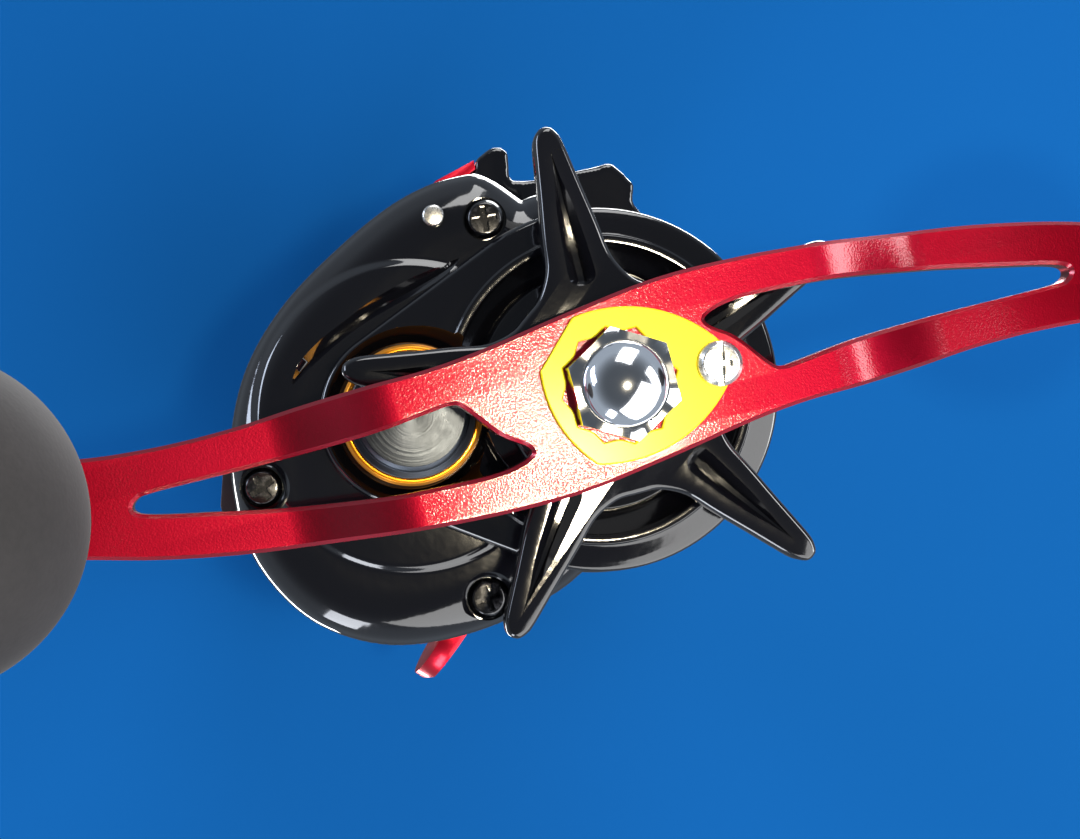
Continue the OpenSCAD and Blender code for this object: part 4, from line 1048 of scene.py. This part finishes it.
def palm_dome():
    """The dome, its side wall and its inner face, as one closed grid round the spool axis."""
    cos, sin = np.cos(ray_angles), np.sin(ray_angles)
    rows = []

    def row(radius, height):
        rows.append(ring(spool_axis, radius, height))

    for r, h in fillet([(2.05, 28.4), (8.7, 28.4, 0.2), (8.8, 29.8), (9.1, 30.0, 0.2), (10.4, 30.0, 0.3),
                        (10.8, 29.4)], steps=3):
        row(r, h)
    for s in np.linspace(0.02, 1, 60) ** 0.85:
        radius = 10.8 + (palm_reach - 10.8) * s
        spot = np.stack([spool_axis[0] + radius * cos, spool_axis[1] + radius * sin], 1)
        edge = edge_distance(palm_outline[::3], spot)
        turn_over = 1 - np.clip(edge / 3.2, 0, 1)
        height = 24.5 + 2.5 * (1 - turn_over ** 2.2) ** (1 / 2.2) + 2.3 * ramp(0.8, 11.5, edge)
        row(radius, np.where(s == 1, 24.5, height))
    side_wall(row, palm_reach)
    row(palm_reach - wall, 22.6)
    row(palm_reach - 4.5, 25.0)
    for r, h in ((8.0, 26.4), (5.6, 26.4), (5.6, 17.5), (4.0, 17.5), (4.0, 20.6), (2.05, 20.6)):
        row(r, h)
    return np.concatenate(rows).tolist(), ring_faces(len(rows))


def mirrored(points, faces):
    return [(x, -y, z) for x, y, z in points], faces


palm_cover = shape("palm_side_dome", *palm_dome(), piano_black)
seat = palm_screw_top - 1.5
counterbore = [(0, seat), (bore_radius, seat), (bore_radius, palm_screw_top + 1.4),
               (post_radius, palm_screw_top + 2.0),
               (post_radius, clear_of_cover), (0, clear_of_cover)]
cut(palm_cover, *[shape("recess", *mirrored(*lathe(counterbore, place)), piano_black)
                  for place in screw_places])
post = [(screw_hole, joint_face + 0.1), (post_radius, joint_face + 0.1), (post_radius, seat - 0.1),
        (2.5, seat), (screw_hole, seat)]
palm_posts = [lathe(post, place, 48, ring=True) for place in screw_places]
palm_details = shape("palm_side_posts", *mirrored(*together(*palm_posts)), piano_black)
belong(palm_cover, "reel_body", "palm_side_cover")
belong(palm_details, "reel_body")

# ---- Brake dial ----
# A moulded dial in the palm cover's well that moves the brake magnets. Its rim has eighteen
# finger notches with fine ribs between them, and a slot across it takes a coin.
dial_rim = []
dial_radius, notch_depth, rib_height, notch_step = 8.55, 0.55, 0.16, 20
for half_degree in range(0, 720):
    degree = half_degree / 2
    a = math.radians(degree)
    notch = math.exp(-(((degree + notch_step / 2) % notch_step - notch_step / 2) / 3.6) ** 2)
    rib = 0.5 + 0.5 * math.cos(a * 90)
    reach = dial_radius - notch_depth * notch - rib_height * rib * (1 - notch)
    dial_rim.append(polar(spool_axis, reach, a))
dial = shape("dial_wheel", *mirrored(*plate(dial_rim, [], 28.6, 31.0, 0.35, steps=3)), satin_nylon)
cut(dial, shape("coin_slot", *mirrored(*bar(spool_axis, 12, 1.2, 30.4, 32, 0)), satin_nylon))
stem_profile = [(0, 28.8), (2, 28.8), (2, 21.6), (1.8, 21.4), (0, 21.4)]
stem = shape("dial_stem", *mirrored(*lathe(stem_profile, spool_axis, 48)), satin_nylon)
belong(dial, "dial", "brake_dial")
belong(stem, "dial")

# ---- Thumb bar ----
# Pressed by the thumb to free the spool, and sprung back by a small coil below it: moulded
# nylon, satin black from its mould.
dress("thumb_bar", satin_nylon, "thumb", 0.3, 40)

# ---- Spool ----
# Drum and flanges turned from one aluminium bar and anodised gunmetal, on a ground steel
# shaft. Twelve holes lighten each flange.
spool_alloy, tree = new_material("turned_gunmetal_aluminium")
# Fine turning rings round the shaft, 0.15 mm apart, give long soft streaks.
place = {"Vector": add(tree, "ShaderNodeTexCoord").outputs["Object"]}
sides, far_out = round_spool_axis(tree, place)
along = add(tree, "ShaderNodeMath", {"operation": "ADD"},
            {0: far_out.outputs["Value"], 1: sides.outputs[1]})
lines = add(tree, "ShaderNodeTexNoise", {"noise_dimensions": "1D", "Scale": 7000.0, "Detail": 3.0},
            {"W": along.outputs[0]})
turned_bump = add(tree, "ShaderNodeBump", {"Strength": 0.2, "Distance": 0.00003},
                  {"Height": lines.outputs["Fac"]})
gloss = add(tree, "ShaderNodeMapRange", {"To Min": 0.2, "To Max": 0.34}, {"Value": lines.outputs["Fac"]})
surface(tree, {"Base Color": colour("#6C7078"), "Metallic": 1.0, "Anisotropic": 0.5},
             {"Roughness": gloss.outputs[0], "Normal": turned_bump.outputs[0]})
dress("spool", spool_alloy, "spool_group", 0.1)
dress("spool_flanges", spool_alloy, "spool_group", 0.12)

ground_steel, tree = new_material("ground_stainless_steel")
# Centreless grinding leaves short scratches 0.1 mm apart round each pin and shaft.
place = {"Vector": add(tree, "ShaderNodeTexCoord").outputs["Object"]}
scratch = add(tree, "ShaderNodeMapping", {"Scale": (400.0, 9000.0, 400.0)}, place)
lines = add(tree, "ShaderNodeTexNoise", {"Scale": 1.0, "Detail": 4.0}, {"Vector": scratch.outputs[0]})
gloss = add(tree, "ShaderNodeMapRange", {"To Min": 0.14, "To Max": 0.32}, {"Value": lines.outputs["Fac"]})
ground_bump = add(tree, "ShaderNodeBump", {"Strength": 0.12, "Distance": 0.00003},
                  {"Height": lines.outputs["Fac"]})
surface(tree, {"Base Color": colour("#C6C8CC"), "Metallic": 1.0},
             {"Roughness": gloss.outputs[0], "Normal": ground_bump.outputs[0]})
for node, body in (("spool_shaft", "spool_group"), ("clutch_pin", "spool_group"), ("drive_shaft", "handle"),
                   ("knob_shafts", "handle"),
                   ("handle_spacer", "handle"), ("pressure_plate", "handle"), ("clutch_sleeve", "handle"),
                   ("ratchet", "handle"),
                   ("spring_washers", "handle"), ("guide_bar", "reel_body"), ("idler_axle", "reel_body"),
                   ("yoke_posts", "reel_body"),
                   ("roller_clutch", "reel_body"), ("drive_shaft_bearing", "reel_body"),
                   ("pinion_bearings", "reel_body"),
                   ("spool_end_bearings", "reel_body"), ("pawl_cap", "guide")):
    dress(node, ground_steel, body, 0.1)

# ---- Springs ----
# Wound from 0.45 mm spring wire: one on each yoke post and one under the thumb bar.
wire, tree = new_material("drawn_spring_wire")
# Drawn music wire, grey and satin, with die marks 0.05 mm apart along it, drawn coarser.
place = {"Vector": add(tree, "ShaderNodeTexCoord").outputs["Object"]}
marks = add(tree, "ShaderNodeTexNoise", {"Scale": 3000.0, "Detail": 3.0}, place)
gloss = add(tree, "ShaderNodeMapRange", {"To Min": 0.2, "To Max": 0.4}, {"Value": marks.outputs["Fac"]})
surface(tree, {"Base Color": colour("#A9ABAF"), "Metallic": 1.0}, {"Roughness": gloss.outputs[0]})

spring_tree, given = spot_tree("coil_springs_on_spots", ("Turns", "Float"), ("Coil radius", "Float"),
                               ("Length", "Float"), ("Wire radius", "Float"))
helix = add(spring_tree, "GeometryNodeCurveSpiral", {"Resolution": 24}, {
    "Rotations": given["Turns"], "Start Radius": given["Coil radius"], "End Radius": given["Coil radius"],
    "Height": given["Length"]})
section = add(spring_tree, "GeometryNodeCurvePrimitiveCircle", {"Resolution": 8},
              {"Radius": given["Wire radius"]})
wound = add(spring_tree, "GeometryNodeCurveToMesh", {"Fill Caps": True}, {
    "Curve": helix.outputs[0], "Profile Curve": section.outputs[0]})
one_at_each_spot(spring_tree, given, wire, Instance=wound.outputs[0])
post_reach, post_foot = 8, -18.65
post_spots = [(spool_axis[0] + post_reach * math.cos(a), post_foot,
               spool_axis[1] + post_reach * math.sin(a))
              for a in (spool_way - math.pi / 2, spool_way + math.pi / 2)]
post_coils = settle(spots("yoke_coils", post_spots, [(math.pi / 2, 0, 0)] * 2), spring_tree, wire,
                    **{"Turns": 6.0, "Coil radius": 0.00162, "Length": 0.0049, "Wire radius": 0.00023})
low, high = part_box("thumb_bar_spring")
coil_foot = ((low[0] + high[0]) * 500, (low[1] + high[1]) * 500, low[2] * 1000 + 0.25)
bar_coil = settle(spots("thumb_coil", [coil_foot], [(0, 0, 0)]), spring_tree, wire,
                  **{"Turns": 6.0, "Coil radius": 0.00106, "Length": high[2] - low[2] - 0.0005,
                     "Wire radius": 0.00022})
belong(post_coils, "reel_body", "yoke_springs")
belong(bar_coil, "reel_body", "thumb_bar_spring")
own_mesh(post_coils)
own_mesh(bar_coil)

# ---- Line guide and worm shaft ----
# The worm shaft turns with the handle, and a bronze pawl in its crossed groove carries the
# nylon line guide from side to side. The guide's ring is polished ceramic.
worm_out, worm_turn = 17, math.radians(50)
worm_axis = polar(drive, worm_out, worm_turn)
# The groove runs six turns there and back. Each row of points is (radius, depth).
worm_radius, journal, travel, groove_turns, groove_depth = 2.5, 1.5, 10.2, 6, 0.75
points, rows, turns = [], 260, 96
worm_rows = [(journal, -16.3), (journal, -13.95)]
worm_rows += [(worm_radius, -13.85 + 27.7 * i / rows) for i in range(rows + 1)]
worm_rows += [(journal, 13.95), (journal, 18.5)]
for r, h in worm_rows:
    for t in range(turns):
        a = 2 * math.pi * t / turns
        reach = r
        if r == worm_radius:
            gap = min(abs(h + way * travel * math.sin((a + 2 * math.pi * k) / groove_turns))
                      for way in (1, -1) for k in range(groove_turns))
            reach -= groove_depth * (1 - float(ramp(0.45, 0.75, gap)))
        points.append((worm_axis[0] + reach * math.cos(a), -h, worm_axis[1] + reach * math.sin(a)))
count = len(worm_rows)
faces = [(i + t, i + (t + 1) % turns, i + turns + (t + 1) % turns, i + turns + t)
         for i in range(0, (count - 1) * turns, turns) for t in range(turns)]
faces += [tuple(range(turns)), tuple((count - 1) * turns + t for t in reversed(range(turns)))]
worm_piece = shape("worm_shaft_grooved", points, faces, ground_steel)
belong(worm_piece, "worm", "worm_shaft")
dress("line_guide", satin_nylon, "guide", 0.25, 40)

ceramic, tree = new_material("polished_zirconia")
# Zirconia, fired and tumble polished: dark, glassy, with the faintest clouding.
place = {"Vector": add(tree, "ShaderNodeTexCoord").outputs["Object"]}
cloud = add(tree, "ShaderNodeTexNoise", {"Scale": 900.0, "Detail": 3.0}, place)
tint = add(tree, "ShaderNodeMix", {"data_type": "RGBA", 6: colour("#1E1E24"), 7: colour("#2C2C34")},
           {0: cloud.outputs["Fac"]})
gloss = add(tree, "ShaderNodeMapRange", {"To Min": 0.04, "To Max": 0.12}, {"Value": cloud.outputs["Fac"]})
surface(tree, {"IOR": 2.1}, {"Base Color": tint.outputs[2], "Roughness": gloss.outputs[0]})
dress("guide_ring", ceramic, "guide", 0)

bronze, tree = new_material("machined_bronze")
# Warm brown metal with tool marks 0.1 mm apart.
place = {"Vector": add(tree, "ShaderNodeTexCoord").outputs["Object"]}
marks = add(tree, "ShaderNodeTexNoise", {"Scale": 9000.0, "Detail": 3.0}, place)
gloss = add(tree, "ShaderNodeMapRange", {"To Min": 0.24, "To Max": 0.42}, {"Value": marks.outputs["Fac"]})
surface(tree, {"Base Color": colour("#A9743A"), "Metallic": 1.0}, {"Roughness": gloss.outputs[0]})
dress("pawl", bronze, "guide", 0.1)
dress("cast_cap_shim", bronze, "cast_control", 0.05)

# ---- Gears, clutch and brake parts ----
# Hobbed brass for the gears that carry the load; acetal for the quiet line-guide gears, the
# clutch yoke, its cam and the bushings; a woven carbon drag washer; six nickelled magnets.
brass, tree = new_material("hobbed_brass")
# Yellow metal, bright on the flanks, with hob marks about 0.1 mm apart and a thin oil film.
place = {"Vector": add(tree, "ShaderNodeTexCoord").outputs["Object"]}
marks = add(tree, "ShaderNodeTexNoise", {"Scale": 6000.0, "Detail": 4.0}, place)
tarnish = add(tree, "ShaderNodeTexNoise", {"Scale": 260.0, "Detail": 3.0}, place)
tint = add(tree, "ShaderNodeMix", {"data_type": "RGBA", 6: colour("#C79A45"), 7: colour("#E0BC6C")},
           {0: tarnish.outputs["Fac"]})
gloss = add(tree, "ShaderNodeMapRange", {"To Min": 0.18, "To Max": 0.36}, {"Value": marks.outputs["Fac"]})
marks_bump = add(tree, "ShaderNodeBump", {"Strength": 0.1, "Distance": 0.00003},
                 {"Height": marks.outputs["Fac"]})
surface(tree, {"Metallic": 1.0},
             {"Base Color": tint.outputs[2], "Roughness": gloss.outputs[0],
              "Normal": marks_bump.outputs[0]})
for node, body in (("main_gear", "handle"), ("guide_drive_gear", "handle"), ("pinion", "pinion_group")):
    dress(node, brass, body, 0.06)

acetal, tree = new_material("natural_acetal")
# Moulded acetal: waxy off-white that light sinks into, with grease smears.
place = {"Vector": add(tree, "ShaderNodeTexCoord").outputs["Object"]}
smear = add(tree, "ShaderNodeTexNoise", {"Scale": 220.0, "Detail": 4.0}, place)
tint = add(tree, "ShaderNodeMix", {"data_type": "RGBA", 6: colour("#D9D3C3"), 7: colour("#EFEBE0")},
           {0: smear.outputs["Fac"]})
gloss = add(tree, "ShaderNodeMapRange", {"To Min": 0.25, "To Max": 0.45}, {"Value": smear.outputs["Fac"]})
surface(tree, {"IOR": 1.48, "Subsurface Weight": 0.15, "Subsurface Scale": 0.0006},
             {"Base Color": tint.outputs[2], "Roughness": gloss.outputs[0]})
for node, body in (("idler_gear", "idler"), ("worm_gear", "worm"), ("clutch_yoke", "yoke"),
                   ("clutch_cam", "cam"), ("worm_bushings", "reel_body")):
    dress(node, acetal, body, 0.06)

carbon, tree = new_material("woven_carbon_fibre")
# Plain weave, tows 0.8 mm wide, with each tow's sheen painted into its colour as a light and dark checker.
place = {"Vector": add(tree, "ShaderNodeTexCoord").outputs["Object"]}
weave_painted_sheen = add(tree, "ShaderNodeTexChecker",
            {"Color1": colour("#1A1A1C"), "Color2": colour("#3A3A3E"), "Scale": 1250.0}, place)
fibre = add(tree, "ShaderNodeTexNoise", {"Scale": 5000.0, "Detail": 2.0}, place)
gloss = add(tree, "ShaderNodeMapRange", {"To Min": 0.3, "To Max": 0.5}, {"Value": fibre.outputs["Fac"]})
surface(tree, {"IOR": 1.55}, {"Base Color": weave_painted_sheen.outputs["Color"], "Roughness": gloss.outputs[0]})
dress("drag_washer", carbon, "handle", 0.06)
dress("magnet_carrier", satin_nylon, "magnets", 0.1)
dress("brake_magnets", chrome, "magnets", 0.1)
